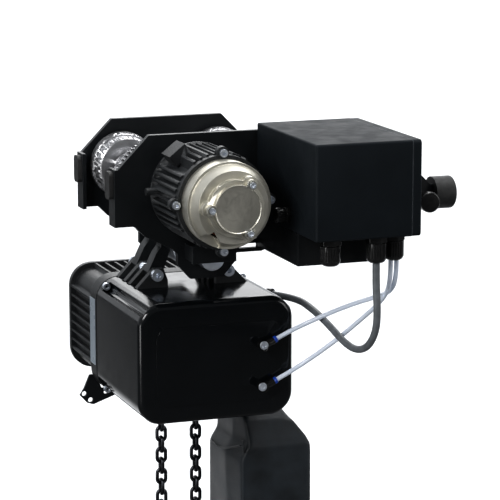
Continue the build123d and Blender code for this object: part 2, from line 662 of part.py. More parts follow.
# two inverted U stirrups hang on the sleeve; each leg is bolted between a pair of lugs
BOLT_X, BOLT_Z = 50.0, -96.0
STIRRUPS = (4.0, 56.0)                # rear faces
STIRRUP_T = 20.0
ARCH_R = SLEEVE_R + 13.0
LEG = [(SLEEVE_R + 0.1, SHAFT_Z + 1), (SLEEVE_R + 0.6, SHAFT_Z - 5), (38, -96), (44, -105), (56, -105),
       (58.5, -94), (47, -70), (ARCH_R, SHAFT_Z + 1)]
with BuildPart() as stirrups:
    for rear_face in STIRRUPS:
        with BuildSketch(facing(rear_face)):
            with Locations((0, SHAFT_Z)):
                Circle(ARCH_R)
                Circle(SLEEVE_R + 0.05, mode=Mode.SUBTRACT)
            with Locations((0, SHAFT_Z - 50)):
                Rectangle(120, 100, mode=Mode.SUBTRACT)
            outline(*LEG)
            outline(*[(-x, z) for x, z in LEG])
            with Locations((-BOLT_X, BOLT_Z), (BOLT_X, BOLT_Z)):
                Circle(5.1, mode=Mode.SUBTRACT)
        extrude(amount=STIRRUP_T)
stirrups.part.label = "stirrups"
export_step(stirrups.part, "parts/stirrups.step")

LUG_T = 10.0
LUG = [(40, -88), (53, -88), (77, BODY_TOP), (77, BODY_TOP - 17), (34, BODY_TOP - 17), (34, -104)]
LUG_FACES = []                        # rear faces of the four lug planes
for rear_face in STIRRUPS:
    LUG_FACES += [rear_face - STIRRUP_T - 0.2, rear_face + 0.2 + LUG_T]

# ---------------------------------------------------------------- hoist housing
GEAR_WALL_Y = -26.0                   # front face of the wall that carries the gears
INNER_Y0, INNER_Y1 = GEAR_WALL_Y + 12, SEAM_Y - 7
MESH_X = (LOAD_X - HOIST_X, LOAD_Z - HOIST_Z)
STAGE1_MODULE, STAGE1_TEETH = 1.25, (12, 52)
STAGE2_MODULE, STAGE2_TEETH = 1.75, (12, 44)
REACH1 = STAGE1_MODULE * sum(STAGE1_TEETH) / 2
REACH2 = STAGE2_MODULE * sum(STAGE2_TEETH) / 2
SPAN = hypot(*MESH_X)
ALONG = (REACH1 ** 2 - REACH2 ** 2 + SPAN ** 2) / (2 * SPAN)
ASIDE = sqrt(REACH1 ** 2 - ALONG ** 2)
MID_X = HOIST_X + (ALONG * MESH_X[0] + ASIDE * MESH_X[1]) / SPAN
MID_Z = HOIST_Z + (ALONG * MESH_X[1] - ASIDE * MESH_X[0]) / SPAN

with BuildPart() as hoist_housing:
    # full section band, seen between the two covers
    with BuildSketch(facing(BAND_Y)):
        with Locations((0, BODY_MID)):
            RectangleRounded(2 * BODY_HALF, BODY_TOP - BODY_BOTTOM, CORNER_R)
    extrude(amount=BAND_Y - SEAM_Y)
    with BuildSketch(facing(BAND_Y)):
        with Locations((0, REAR_MID)):
            RectangleRounded(176, 132, 20)
    extrude(amount=BAND_Y - SEAM_Y - 2, mode=Mode.SUBTRACT)
    # core that holds the load wheel
    with BuildSketch(facing(SEAM_Y)):
        with Locations((13, -194)):
            RectangleRounded(154, 134, 30)
    extrude(amount=SEAM_Y - GEAR_WALL_Y)
    with BuildSketch(facing(INNER_Y1)):
        with Locations((13, -200)):
            RectangleRounded(140, 130, 20)
    extrude(amount=INNER_Y1 - INNER_Y0, mode=Mode.SUBTRACT)
    # lugs on top, through the front cover's slots
    for rear_face in LUG_FACES:
        with BuildSketch(facing(rear_face)):
            outline(*LUG)
            outline(*[(-x, z) for x, z in LUG])
        extrude(amount=LUG_T)
    # bores: motor shaft, load wheel shaft, intermediate shaft, lug bolts
    with BuildSketch(facing(SEAM_Y + 3)):
        with Locations((HOIST_X, HOIST_Z)):
            Circle(13)
        with Locations((LOAD_X, LOAD_Z)):
            Circle(16)
    extrude(amount=120, mode=Mode.SUBTRACT)
    with BuildSketch(facing(INNER_Y0)):
        with Locations((MID_X, MID_Z)):
            Circle(11)
    extrude(amount=20, mode=Mode.SUBTRACT)
    with BuildSketch(facing(BAND_Y + 20)):
        with Locations((-BOLT_X, BOLT_Z), (BOLT_X, BOLT_Z)):
            Circle(5.1)
    extrude(amount=200, mode=Mode.SUBTRACT)
hoist_housing.part.label = "hoist_housing"
export_step(hoist_housing.part, "parts/hoist_housing.step")

# ---------------------------------------------------------------- front cover
CHANNELS = [(sx * (BODY_HALF - 10), BODY_MID + sz * (BODY_TOP - BODY_MID - 10))
            for sx in (-1, 1) for sz in (-1, 1)]
FITTING_X, FITTING_Z = 60.0, (-177.0, -232.0)
SHOULDER = Vector(100.0, -34.0, -130.5)  # where the cable's gland leaves the cover's shoulder
GLAND_OUT = Vector(0.6, -0.8, 0.0)
GLAND_REACH = 12.0
COVER_Y1 = SEAM_Y - 0.2
with BuildPart() as front_cover:
    with BuildSketch(facing(COVER_Y1)):
        with Locations((0, BODY_MID)):
            RectangleRounded(2 * BODY_HALF - 1, BODY_TOP - BODY_BOTTOM - 1, CORNER_R - 0.5)
    extrude(amount=COVER_Y1 - BODY_FRONT)
    fillet(front_cover.faces().sort_by(Axis.Y)[0].edges(), radius=9)
    with BuildSketch(facing(COVER_Y1)):
        with Locations((0, BODY_MID)):
            RectangleRounded(2 * BODY_HALF - 9, BODY_TOP - BODY_BOTTOM - 9, 50)
    extrude(amount=COVER_Y1 - BODY_FRONT - 5, mode=Mode.SUBTRACT)
    # raised panel on the front face
    with BuildSketch(facing(BODY_FRONT)):
        with Locations((3, -198)):
            RectangleRounded(172, 104, 16)
    extrude(amount=1.5)
    # screw channels sunk along the four corners
    with BuildSketch(facing(COVER_Y1 - 14)):
        with Locations(*CHANNELS):
            Circle(8)
    extrude(amount=COVER_Y1 - BODY_FRONT - 18, mode=Mode.SUBTRACT)
    # slots for the lugs
    for rear_face in LUG_FACES:
        with Locations((56, rear_face - LUG_T / 2, BODY_TOP - 8), (-56, rear_face - LUG_T / 2, BODY_TOP - 8)):
            Box(46, LUG_T + 1.5, 24, mode=Mode.SUBTRACT)
    # chain mouth underneath, gland hole in the shoulder, fitting holes in front
    with Locations((25, CHAIN_Y, BODY_BOTTOM + 8)):
        Box(130, 30, 28, mode=Mode.SUBTRACT)
    with BuildSketch(Plane(origin=SHOULDER - GLAND_OUT * 30, z_dir=GLAND_OUT)):
        Circle(6.05)
    extrude(amount=60, mode=Mode.SUBTRACT)
    with BuildSketch(Plane(origin=SHOULDER + GLAND_OUT * 4.3, z_dir=GLAND_OUT)):
        Circle(8.3)
    extrude(amount=30, mode=Mode.SUBTRACT)
    with BuildSketch(facing(BODY_FRONT + 8)):
        with Locations(*[(FITTING_X, z) for z in FITTING_Z]):
            Circle(4.05)
    extrude(amount=20, mode=Mode.SUBTRACT)
front_cover.part.label = "front_cover"
export_step(front_cover.part, "parts/front_cover.step")

# socket-head bolts through lugs and stirrup legs, and the front cover's screws
with BuildPart() as hoist_fasteners:
    for rear_face in STIRRUPS:
        nose = rear_face - STIRRUP_T - 0.2 - LUG_T
        with BuildSketch(facing(rear_face + LUG_T + 8)):
            with Locations((-BOLT_X, BOLT_Z), (BOLT_X, BOLT_Z)):
                Circle(5)
        extrude(amount=rear_face + LUG_T + 8 - nose)
        with BuildSketch(facing(nose)):
            with Locations((-BOLT_X, BOLT_Z), (BOLT_X, BOLT_Z)):
                Circle(8)
                RegularPolygon(4, 6, mode=Mode.SUBTRACT)
        extrude(amount=7)
        with BuildSketch(facing(rear_face + LUG_T + 7)):
            with Locations((-BOLT_X, BOLT_Z), (BOLT_X, BOLT_Z)):
                RegularPolygon(8, 6)
        extrude(amount=6.5)
    # screws at the back of the front cover's channels
    with BuildSketch(facing(COVER_Y1 - 14)):
        with Locations(*CHANNELS):
            Circle(5)
            RegularPolygon(2.6, 6, mode=Mode.SUBTRACT)
    extrude(amount=6)
hoist_fasteners.part.label = "hoist_fasteners"
export_step(hoist_fasteners.part, "parts/hoist_fasteners.step")

# ---------------------------------------------------------------- finned motor cover
with BuildPart() as rear_cover:
    with BuildSketch(facing(RIM_Y0)):
        with Locations((0, REAR_MID)):
            RectangleRounded(2 * REAR_HALF_X - 16, 2 * REAR_HALF_Z - 16, 22)
    extrude(amount=RIM_Y0 - BAND_Y)
    with BuildSketch(facing(RIM_Y0)):
        with Locations(*[(0, REAR_MID + 12.6 * (k - 3.5)) for k in range(8)]):
            Rectangle(2 * REAR_HALF_X - 2, 3)
        with Locations(*[(14.0 * (k - 5), REAR_MID) for k in range(11)]):
            Rectangle(3, 2 * REAR_HALF_Z - 2)
        with Locations((0, REAR_MID)):
            RectangleRounded(2 * REAR_HALF_X - 2, 2 * REAR_HALF_Z - 2, CORNER_R, mode=Mode.INTERSECT)
    extrude(amount=RIM_Y0 - BAND_Y)
    with BuildSketch(facing(RIM_Y1)):
        with Locations((0, REAR_MID)):
            RectangleRounded(2 * REAR_HALF_X, 2 * REAR_HALF_Z, CORNER_R)
    extrude(amount=RIM_Y1 - RIM_Y0)
    fillet(rear_cover.faces().sort_by(Axis.Y)[-1].edges(), radius=8)
    with BuildSketch(facing(RIM_Y0 + 8)):
        with Locations((HOIST_X, HOIST_Z)):
            Circle(58)
    extrude(amount=RIM_Y0 + 8 - BAND_Y + 1, mode=Mode.SUBTRACT)
rear_cover.part.label = "rear_cover"
export_step(rear_cover.part, "parts/rear_cover.step")

# two-hole bracket for a chain container or strain wire, under the left end of the band
LUG_HOLES = ((-117.0, -281.0), (-108.0, -290.5))
with BuildPart() as lug_bracket:
    with BuildSketch(facing(96.5)):
        outline((-123, -283), (-117, -273.5), (-109, -255), (-100, -255), (-92, BODY_BOTTOM - 0.1),
                (-62, BODY_BOTTOM - 0.1), (-62, -282), (-84, -290), (-104, -297), (-113, -294))
        with Locations(*LUG_HOLES):
            Circle(3.5, mode=Mode.SUBTRACT)
        with Locations((-86, -281)):
            Circle(3, mode=Mode.SUBTRACT)
    extrude(amount=4)
lug_bracket.part.label = "lug_bracket"
export_step(lug_bracket.part, "parts/lug_bracket.step")

# ---------------------------------------------------------------- hoist motor and gears
with BuildPart() as hoist_stator:
    with BuildSketch(facing(146)):
        with Locations((HOIST_X, HOIST_Z)):
            Circle(57.9)
            Circle(34, mode=Mode.SUBTRACT)
    extrude(amount=52)
    for y1 in (156.0, 94.0):
        with BuildSketch(facing(y1)):
            with Locations((HOIST_X, HOIST_Z)):
                Circle(54)
                Circle(38, mode=Mode.SUBTRACT)
        extrude(amount=10)
hoist_stator.part.label = "hoist_stator"
export_step(hoist_stator.part, "parts/hoist_stator.step")


def direction(from_x, from_z, to_x, to_z):
    """Angle of the line between two gear centres, in degrees."""
    return degrees(atan2(to_z - from_z, to_x - from_x))


to_mid = direction(HOIST_X, HOIST_Z, MID_X, MID_Z)
to_load = direction(MID_X, MID_Z, LOAD_X, LOAD_Z)
STAGE1_Y, STAGE2_Y = -54.0, -32.0     # rear faces of the two gear meshes

with BuildPart() as hoist_rotor:
    with BuildSketch(facing(145)):
        with Locations((HOIST_X, HOIST_Z)):
            Circle(33.5)
    extrude(amount=50)
    with BuildSketch(facing(160)):
        with Locations((HOIST_X, HOIST_Z)):
            Circle(6)
    extrude(amount=160 - STAGE1_Y + 14)
    with BuildSketch(Plane((HOIST_X, STAGE1_Y, HOIST_Z), (1, 0, 0), (0, -1, 0))):
        gear_outline(STAGE1_TEETH[0], STAGE1_MODULE, phase=to_mid)
    extrude(amount=12)
hoist_rotor.part.label = "hoist_rotor"
export_step(hoist_rotor.part, "parts/hoist_rotor.step")

with BuildPart() as intermediate_shaft:
    with BuildSketch(Plane((MID_X, STAGE1_Y - 1, MID_Z), (1, 0, 0), (0, -1, 0))):
        gear_outline(STAGE1_TEETH[1], STAGE1_MODULE, phase=to_mid + 180 + 180 / STAGE1_TEETH[1])
    extrude(amount=10)
    with BuildSketch(Plane((MID_X, STAGE2_Y + 1, MID_Z), (1, 0, 0), (0, -1, 0))):
        gear_outline(STAGE2_TEETH[0], STAGE2_MODULE, phase=to_load)
    extrude(amount=24)
    with BuildSketch(facing(-15)):
        with Locations((MID_X, MID_Z)):
            Circle(5)
    extrude(amount=66)
intermediate_shaft.part.label = "intermediate_shaft"
export_step(intermediate_shaft.part, "parts/intermediate_shaft.step")

with BuildPart() as final_gear:
    with BuildSketch(Plane((LOAD_X, STAGE2_Y, LOAD_Z), (1, 0, 0), (0, -1, 0))):
        gear_outline(STAGE2_TEETH[1], STAGE2_MODULE, phase=to_load + 180 + 180 / STAGE2_TEETH[1])
        Circle(8, mode=Mode.SUBTRACT)
    extrude(amount=14)
final_gear.part.label = "final_gear"
export_step(final_gear.part, "parts/final_gear.step")

# cup that closes the gears in, carrying the outer bearings
GEARBOX_Y = -92.0
with BuildPart() as gearbox_cover:
    with BuildSketch(facing(GEAR_WALL_Y - 0.4)):
        with Locations((20, -196)):
            RectangleRounded(146, 138, 34)
    extrude(amount=GEAR_WALL_Y - 0.4 - GEARBOX_Y)
    with BuildSketch(facing(GEAR_WALL_Y)):
        with Locations((20, -196)):
            RectangleRounded(140, 132, 31)
    extrude(amount=GEAR_WALL_Y - GEARBOX_Y - 12, mode=Mode.SUBTRACT)
    with BuildSketch(facing(GEARBOX_Y + 13)):
        with Locations((HOIST_X, HOIST_Z), (MID_X, MID_Z), (LOAD_X, LOAD_Z)):
            Circle(11)
    extrude(amount=9, mode=Mode.SUBTRACT)
gearbox_cover.part.label = "gearbox_cover"
export_step(gearbox_cover.part, "parts/gearbox_cover.step")

# ball bearings: rings between each shaft and its seat
BEARINGS = (
    (HOIST_X, HOIST_Z, 12.95, 6.05, GEAR_WALL_Y + 12, 10), (HOIST_X, HOIST_Z, 12.95, 6.05, SEAM_Y + 2, 8),
    (LOAD_X, LOAD_Z, 15.95, 8.05, GEAR_WALL_Y + 12, 10), (LOAD_X, LOAD_Z, 15.95, 8.05, SEAM_Y, 6),
    (MID_X, MID_Z, 10.95, 5.05, GEAR_WALL_Y + 12, 8), (MID_X, MID_Z, 10.95, 5.05, GEARBOX_Y + 12, 8),
    (LOAD_X, LOAD_Z, 10.95, 8.05, GEARBOX_Y + 12, 8),
)
with BuildPart() as hoist_bearings:
    for x, z, outer, inner, y1, length in BEARINGS:
        with BuildSketch(facing(y1)):
            with Locations((x, z)):
                Circle(outer)
                Circle(inner, mode=Mode.SUBTRACT)
        extrude(amount=length)
hoist_bearings.part.label = "hoist_bearings"
export_step(hoist_bearings.part, "parts/hoist_bearings.step")

# ---------------------------------------------------------------- chain


def route(start, sheave_z, slack_end):
    """Joints between links, 15 mm apart: down the dead-end fall, round the sheave, up, over, down."""
    points = [Vector(-FALL_X, 0, start)]
    while points[-1].Z - PITCH > sheave_z:
        points.append(points[-1] - Vector(0, 0, PITCH))
    # round the sheave: the chord from the last straight joint to a circle of the same chords
    bend = 2 * asin(PITCH / 2 / FALL_X)
    drop = points[-1].Z - sheave_z
    angle = pi + asin(min(1.0, max(-1.0, (PITCH - drop) / FALL_X)))
    while angle < 2 * pi:
        points.append(Vector(FALL_X * cos(angle), 0, sheave_z + FALL_X * sin(angle)))
        angle += bend
    last = points[-1]
    rise = sqrt(PITCH ** 2 - (FALL_X - last.X) ** 2)
    points.append(Vector(FALL_X, 0, last.Z + rise))
    while points[-1].Z + PITCH < LOAD_Z:
        points.append(points[-1] + Vector(0, 0, PITCH))
    turn = radians(WHEEL_ANGLE)
    drop = LOAD_Z - points[-1].Z
    angle = pi - asin(min(1.0, max(-1.0, (PITCH - drop) / LOAD_R)))
    while angle > 0:
        points.append(Vector(LOAD_X + LOAD_R * cos(angle), 0, LOAD_Z + LOAD_R * sin(angle)))
        angle -= turn
    last = points[-1]
    drop = sqrt(PITCH ** 2 - (LOAD_X + LOAD_R - last.X) ** 2)
    points.append(Vector(LOAD_X + LOAD_R, 0, last.Z - drop))
    while points[-1].Z > slack_end:
        points.append(points[-1] - Vector(0, 0, PITCH))
    return points


def link_solid():
    """One stadium-shaped link in the XZ plane, its long way along Z."""
    half = PITCH / 2 + WIRE_R - LINK_R + 0.05
    with BuildPart() as link:
        with BuildLine() as loop:
            Line((-LINK_R, 0, -half), (-LINK_R, 0, half))
            ThreePointArc((-LINK_R, 0, half), (0, 0, half + LINK_R), (LINK_R, 0, half))
            Line((LINK_R, 0, half), (LINK_R, 0, -half))
            ThreePointArc((LINK_R, 0, -half), (0, 0, -half - LINK_R), (-LINK_R, 0, -half))
        with BuildSketch(Plane((-LINK_R, 0, 0), (1, 0, 0), (0, 0, 1))):
            Circle(WIRE_R)
        sweep(path=loop.wire())
    return link.part


LINK = link_solid()


def placed_link(start, end, index):
    """A link between two joints of the chain, every second one turned a quarter about its length."""
    along = (end - start).normalized()
    middle = (start + end) * 0.5 + Vector(0, CHAIN_Y, 0)
    side = Vector(0, 1, 0).cross(along) if index % 2 == 0 else Vector(0, 1, 0)
    return Plane(origin=middle, x_dir=side, z_dir=along) * LINK


JOINTS = route(ANCHOR_Z, SHEAVE_Z, -296.0)
LINKS = [placed_link(JOINTS[i], JOINTS[i + 1], i) for i in range(len(JOINTS) - 1)]
MIDDLES = [(JOINTS[i] + JOINTS[i + 1]) * 0.5 for i in range(len(JOINTS) - 1)]
first_over = next(i for i, p in enumerate(MIDDLES) if p.X > 0 and p.Z > LOAD_Z - 26)

with BuildPart() as load_chain:
    for link in LINKS[:first_over]:
        add(link)
load_chain.part.label = "load_chain"
export_step(load_chain.part, "parts/load_chain.step")

# slack chain: over the load wheel, down into the bag, and lying there in two flat turns
HEAP = Vector(110.0, 16.0, -500.0)
HEAP_LINKS, HEAP_LAYER = 12, 19.0      # links in each turn, and the rise between the two turns


def heap_turn(layer):
    """One closed turn of links lying in the bag, every second one on edge."""
    arc = 2 * pi / HEAP_LINKS
    radius = PITCH / 2 / sin(arc / 2)
    joints = [HEAP + Vector(radius * cos(i * arc), radius * sin(i * arc), layer * HEAP_LAYER)
              for i in range(HEAP_LINKS + 1)]
    turn = []
    for i, (start, end) in enumerate(zip(joints, joints[1:])):
        along = (end - start).normalized()
        side = Vector(0, 0, 1) if i % 2 else Vector(0, 0, 1).cross(along)
        turn.append(Plane(origin=(start + end) * 0.5, x_dir=side, z_dir=along) * LINK)
    return turn


SLACK_LINKS = LINKS[first_over:] + heap_turn(0) + heap_turn(1)
with BuildPart() as slack_chain:
    for link in SLACK_LINKS:
        add(link)
slack_chain.part.label = "slack_chain"
export_step(slack_chain.part, "parts/slack_chain.step")

# ---------------------------------------------------------------- load wheel, guide, anchor
flat = next(p for i, p in enumerate(MIDDLES) if i % 2 and p.X > FALL_X - 1 and p.Z > LOAD_Z + 8)
POCKET_FLOOR = LOAD_R * cos(radians(WHEEL_ANGLE / 2)) - WIRE_R - 0.6
LOAD_RIM_R = 27.0
pocket_phase = degrees(atan2(flat.Z - LOAD_Z, flat.X - LOAD_X))
with BuildPart() as load_wheel:
    with BuildSketch(facing(CHAIN_Y + 12)):
        with Locations((LOAD_X, LOAD_Z)):
            Circle(LOAD_RIM_R)
    extrude(amount=24)
    # groove for the links that stand on edge
    with BuildSketch(facing(CHAIN_Y + 3.2)):
        with Locations((LOAD_X, LOAD_Z)):
            Circle(32)
            Circle(LOAD_R - LINK_R - WIRE_R - 2.0, mode=Mode.SUBTRACT)
    extrude(amount=6.4, mode=Mode.SUBTRACT)
    # five pockets for the links that lie flat
    with BuildSketch(facing(CHAIN_Y + 9.2)):
        with Locations((LOAD_X, LOAD_Z)):
            with PolarLocations(POCKET_FLOOR + 9.5, 5, start_angle=pocket_phase):
                Rectangle(19, 26)
    extrude(amount=18.4, mode=Mode.SUBTRACT)
    with BuildSketch(facing(SEAM_Y + 0.5)):
        with Locations((LOAD_X, LOAD_Z)):
            Circle(8)
    extrude(amount=SEAM_Y - GEARBOX_Y - 6)
    with BuildSketch(facing(CHAIN_Y + 12)):
        with Locations((LOAD_X, LOAD_Z)):
            Circle(13)
    extrude(amount=24)
load_wheel.part.label = "load_wheel"
export_step(load_wheel.part, "parts/load_wheel.step")

GUIDE_Z0, GUIDE_Z1 = -281.0, -238.0
with BuildPart() as chain_guide:
    with Locations((LOAD_X - 12, CHAIN_Y, (GUIDE_Z0 + GUIDE_Z1) / 2)):
        Box(90, 26, GUIDE_Z1 - GUIDE_Z0)
    for x in (FALL_X, LOAD_X + LOAD_R):
        with Locations((x, CHAIN_Y, (GUIDE_Z0 + GUIDE_Z1) / 2)):
            Box(20, 20, 60, mode=Mode.SUBTRACT)
    with BuildSketch(facing(CHAIN_Y + 20)):
        with Locations((LOAD_X, LOAD_Z)):
            Circle(35)
    extrude(amount=40, mode=Mode.SUBTRACT)
chain_guide.part.label = "chain_guide"
export_step(chain_guide.part, "parts/chain_guide.step")

# fork and pin that hold the dead end of the chain
ANCHOR_PIN_R = 3.2
with BuildPart() as chain_anchor:
    with Locations((-FALL_X, CHAIN_Y, -258)):
        Box(26, 26, 31)
    with Locations((-FALL_X, CHAIN_Y, -262)):
        Box(19.5, 7, 40, mode=Mode.SUBTRACT)
    with BuildSketch(facing(CHAIN_Y + 13)):
        with Locations((-FALL_X, ANCHOR_Z - ANCHOR_PIN_R - 0.15)):
            Circle(ANCHOR_PIN_R)
    extrude(amount=26)
chain_anchor.part.label = "chain_anchor"
export_step(chain_anchor.part, "parts/chain_anchor.step")

# ---------------------------------------------------------------- chain bag
BAG_X0, BAG_X1, BAG_Y0, BAG_Y1 = 58.0, 165.0, -42.0, 75.0
BAG_WALL = 2.5
BAG_SECTIONS = (                      # height, x0, x1, y0, y1, corner radius
    (-288.0, 60.0, 128.0, -12.0, 70.0, 10.0), (-300.0, 59.0, 134.0, -22.0, 72.0, 12.0),
    (-342.0, BAG_X0, BAG_X1, BAG_Y0, BAG_Y1, 12.0),
    (-510.0, BAG_X0, BAG_X1, BAG_Y0, BAG_Y1, 12.0), (-530.0, 66.0, 157.0, -34.0, 67.0, 10.0),
)


def bag_solid(inset):
    """Bag's outer body, or its inside when inset by the wall."""
    with BuildPart() as body:
        for lower, upper in zip(BAG_SECTIONS[1:], BAG_SECTIONS[:-1]):
            for z, x0, x1, y0, y1, corner in (lower, upper):
                level = z + inset if z == BAG_SECTIONS[-1][0] else z
                with BuildSketch(Plane.XY.offset(level)):
                    with Locations(((x0 + x1) / 2, (y0 + y1) / 2)):
                        RectangleRounded(x1 - x0 - 2 * inset, y1 - y0 - 2 * inset, corner)
            loft(ruled=True)
    return body.part


bag_outside, bag_inside = bag_solid(0), bag_solid(BAG_WALL)
with BuildPart() as chain_bag:
    add(bag_outside)
    add(bag_inside, mode=Mode.SUBTRACT)
chain_bag.part.label = "chain_bag"
export_step(chain_bag.part, "parts/chain_bag.step")

# plate under the hoist that the bag hooks on to
with BuildPart() as bag_hanger:
    with Locations((97, 30, BODY_BOTTOM - 4)):
        Box(58, 74, 4)
    with Locations((LOAD_X + LOAD_R, CHAIN_Y, BODY_BOTTOM - 4)):
        Box(28, 30, 10, mode=Mode.SUBTRACT)
    with Locations((112, 30, BODY_BOTTOM - 4)):
        Box(20, 40, 10, mode=Mode.SUBTRACT)
    with Locations((136, 30, -285)):
        Box(4, 40, 24)
    with Locations((130, 30, BODY_BOTTOM - 4)):
        Box(14, 40, 4)
bag_hanger.part.label = "bag_hanger"
export_step(bag_hanger.part, "parts/bag_hanger.step")

# ---------------------------------------------------------------- cable and tube fittings
with BuildPart() as shoulder_gland:
    with BuildSketch(Plane(origin=SHOULDER - GLAND_OUT * 13, z_dir=GLAND_OUT)):
        Circle(6)
    extrude(amount=20)
    with BuildSketch(Plane(origin=SHOULDER + GLAND_OUT * 4.5, z_dir=GLAND_OUT)):
        Circle(8)
    extrude(amount=GLAND_REACH - 4.5)
shoulder_gland.part.label = "shoulder_gland"
export_step(shoulder_gland.part, "parts/shoulder_gland.step")

FITTING_Y = -138.0
FITTING_ANGLE = 25.0
REACH = 20.0
with BuildPart() as tube_fittings:
    for z in FITTING_Z:
        with BuildSketch(facing(BODY_FRONT + 6)):
            with Locations((FITTING_X, z)):
                Circle(4)
        extrude(amount=8)
        with BuildSketch(facing(BODY_FRONT - 1.6)):
            with Locations((FITTING_X, z)):
                Circle(5.5)
        extrude(amount=15)
        with BuildSketch(facing(BODY_FRONT - 16.6)):
            with Locations((FITTING_X, z)):
                Circle(5)
        extrude(amount=2)
        out = Vector(cos(radians(FITTING_ANGLE)), 0, sin(radians(FITTING_ANGLE)))
        with BuildSketch(Plane(origin=Vector(FITTING_X, FITTING_Y, z), z_dir=out)):
            Circle(5)
        extrude(amount=REACH - 4)
tube_fittings.part.label = "tube_fittings"
export_step(tube_fittings.part, "parts/tube_fittings.step")

with BuildPart() as tube_collars:
    for z in FITTING_Z:
        start = Vector(FITTING_X, FITTING_Y, z) + out * (REACH - 4)
        with BuildSketch(Plane(origin=start, z_dir=out)):
            Circle(4.6)
        extrude(amount=4)
tube_collars.part.label = "tube_collars"
export_step(tube_collars.part, "parts/tube_collars.step")

# ================================================================ BOTTOM BLOCK
SHEAVE_HALF = 12.0
BLOCK_Y = 17.0                        # half width of the block over its shells
with BuildPart() as sheave:
    with BuildSketch(facing(CHAIN_Y + SHEAVE_HALF)):
        with Locations((0, SHEAVE_Z)):
            Circle(FALL_X + 2.0)
            Circle(6.05, mode=Mode.SUBTRACT)
    extrude(amount=2 * SHEAVE_HALF)
    with BuildSketch(facing(CHAIN_Y + 3.4)):
        with Locations((0, SHEAVE_Z)):
            Circle(FALL_X + 4)
            Circle(FALL_X - LINK_R - WIRE_R - 2.6, mode=Mode.SUBTRACT)
    extrude(amount=6.8, mode=Mode.SUBTRACT)
    with BuildSketch(facing(CHAIN_Y + 9.4)):
        with Locations((0, SHEAVE_Z)):
            Circle(FALL_X + 4)
            Circle(FALL_X - WIRE_R - 2.6, mode=Mode.SUBTRACT)
    extrude(amount=18.8, mode=Mode.SUBTRACT)
sheave.part.label = "sheave"
export_step(sheave.part, "parts/sheave.step")

with BuildPart() as sheave_axle:
    with BuildSketch(facing(CHAIN_Y + BLOCK_Y)):
        with Locations((0, SHEAVE_Z)):
            Circle(6)
    extrude(amount=2 * BLOCK_Y)
    for y1 in (CHAIN_Y + BLOCK_Y + 5, CHAIN_Y - BLOCK_Y):
        with BuildSketch(facing(y1)):
            with Locations((0, SHEAVE_Z)):
                RegularPolygon(9, 6)
        extrude(amount=5)
sheave_axle.part.label = "sheave_axle"
export_step(sheave_axle.part, "parts/sheave_axle.step")

# two shells bolted round the sheave, with a collar for the hook's shank below
BLOCK_OUT = [(0, SHEAVE_Z + 40), (22, SHEAVE_Z + 38), (38, SHEAVE_Z + 22), (41, SHEAVE_Z - 4),
             (34, SHEAVE_Z - 28), (20, SHEAVE_Z - 48), (0, SHEAVE_Z - 50)]
with BuildPart() as block_shells:
    for y1 in (CHAIN_Y + BLOCK_Y, CHAIN_Y - 0.05):
        with BuildSketch(facing(y1)):
            outline(*mirrored(BLOCK_OUT))
        extrude(amount=BLOCK_Y - 0.05)
    fillet(block_shells.faces().sort_by(Axis.Y)[0].edges() + block_shells.faces().sort_by(Axis.Y)[-1].edges(),
           radius=4)
    with BuildSketch(facing(CHAIN_Y + 12.6)):
        with Locations((0, SHEAVE_Z)):
            Circle(FALL_X + 10)
        with Locations((-FALL_X, SHEAVE_Z + 30), (FALL_X, SHEAVE_Z + 30)):
            Rectangle(19, 60)
    extrude(amount=25.2, mode=Mode.SUBTRACT)
    with BuildSketch(facing(CHAIN_Y + 30)):
        with Locations((0, SHEAVE_Z)):
            Circle(6.02)
    extrude(amount=60, mode=Mode.SUBTRACT)
    with Locations((0, CHAIN_Y, SHEAVE_Z - 44)):
        Cylinder(9.3, 40, mode=Mode.SUBTRACT)
    with Locations((0, CHAIN_Y, SHEAVE_Z - 38.5)):
        Cylinder(14.5, 11, mode=Mode.SUBTRACT)
block_shells.part.label = "block_shells"
export_step(block_shells.part, "parts/block_shells.step")

# forged hook: shank with a nut that turns inside the block, and a bowl of round section
HOOK_R = 8.5
with BuildPart() as hook:
    with BuildLine() as hook_line:
        Line((0, CHAIN_Y, SHEAVE_Z - 46), (0, CHAIN_Y, HOOK_Z + 48))
        Spline((0, CHAIN_Y, HOOK_Z + 48), (14, CHAIN_Y, HOOK_Z + 30), (26, CHAIN_Y, HOOK_Z + 8),
               (23, CHAIN_Y, HOOK_Z - 16), (0, CHAIN_Y, HOOK_Z - 28), (-22, CHAIN_Y, HOOK_Z - 18),
               (-30, CHAIN_Y, HOOK_Z + 4), tangents=((0, 0, -1), (-0.1, 0, 1)))
    with BuildSketch(Plane.XY.move(Location((0, CHAIN_Y, SHEAVE_Z - 46)))):
        Circle(HOOK_R)
    sweep(path=hook_line.wire())
    with Locations((-30, CHAIN_Y, HOOK_Z + 4)):
        Sphere(HOOK_R)
    with Locations((0, CHAIN_Y, SHEAVE_Z - 38.5)):
        Cylinder(14, 10)
    # ears that carry the latch's pin
    with Locations((17, CHAIN_Y, HOOK_Z + 32)):
        Box(12, 8, 12)
    with BuildSketch(facing(CHAIN_Y + 15)):
        with Locations((10, HOOK_Z + 31)):
            Circle(2.05)
    extrude(amount=30, mode=Mode.SUBTRACT)
hook.part.label = "hook"
export_step(hook.part, "parts/hook.step")

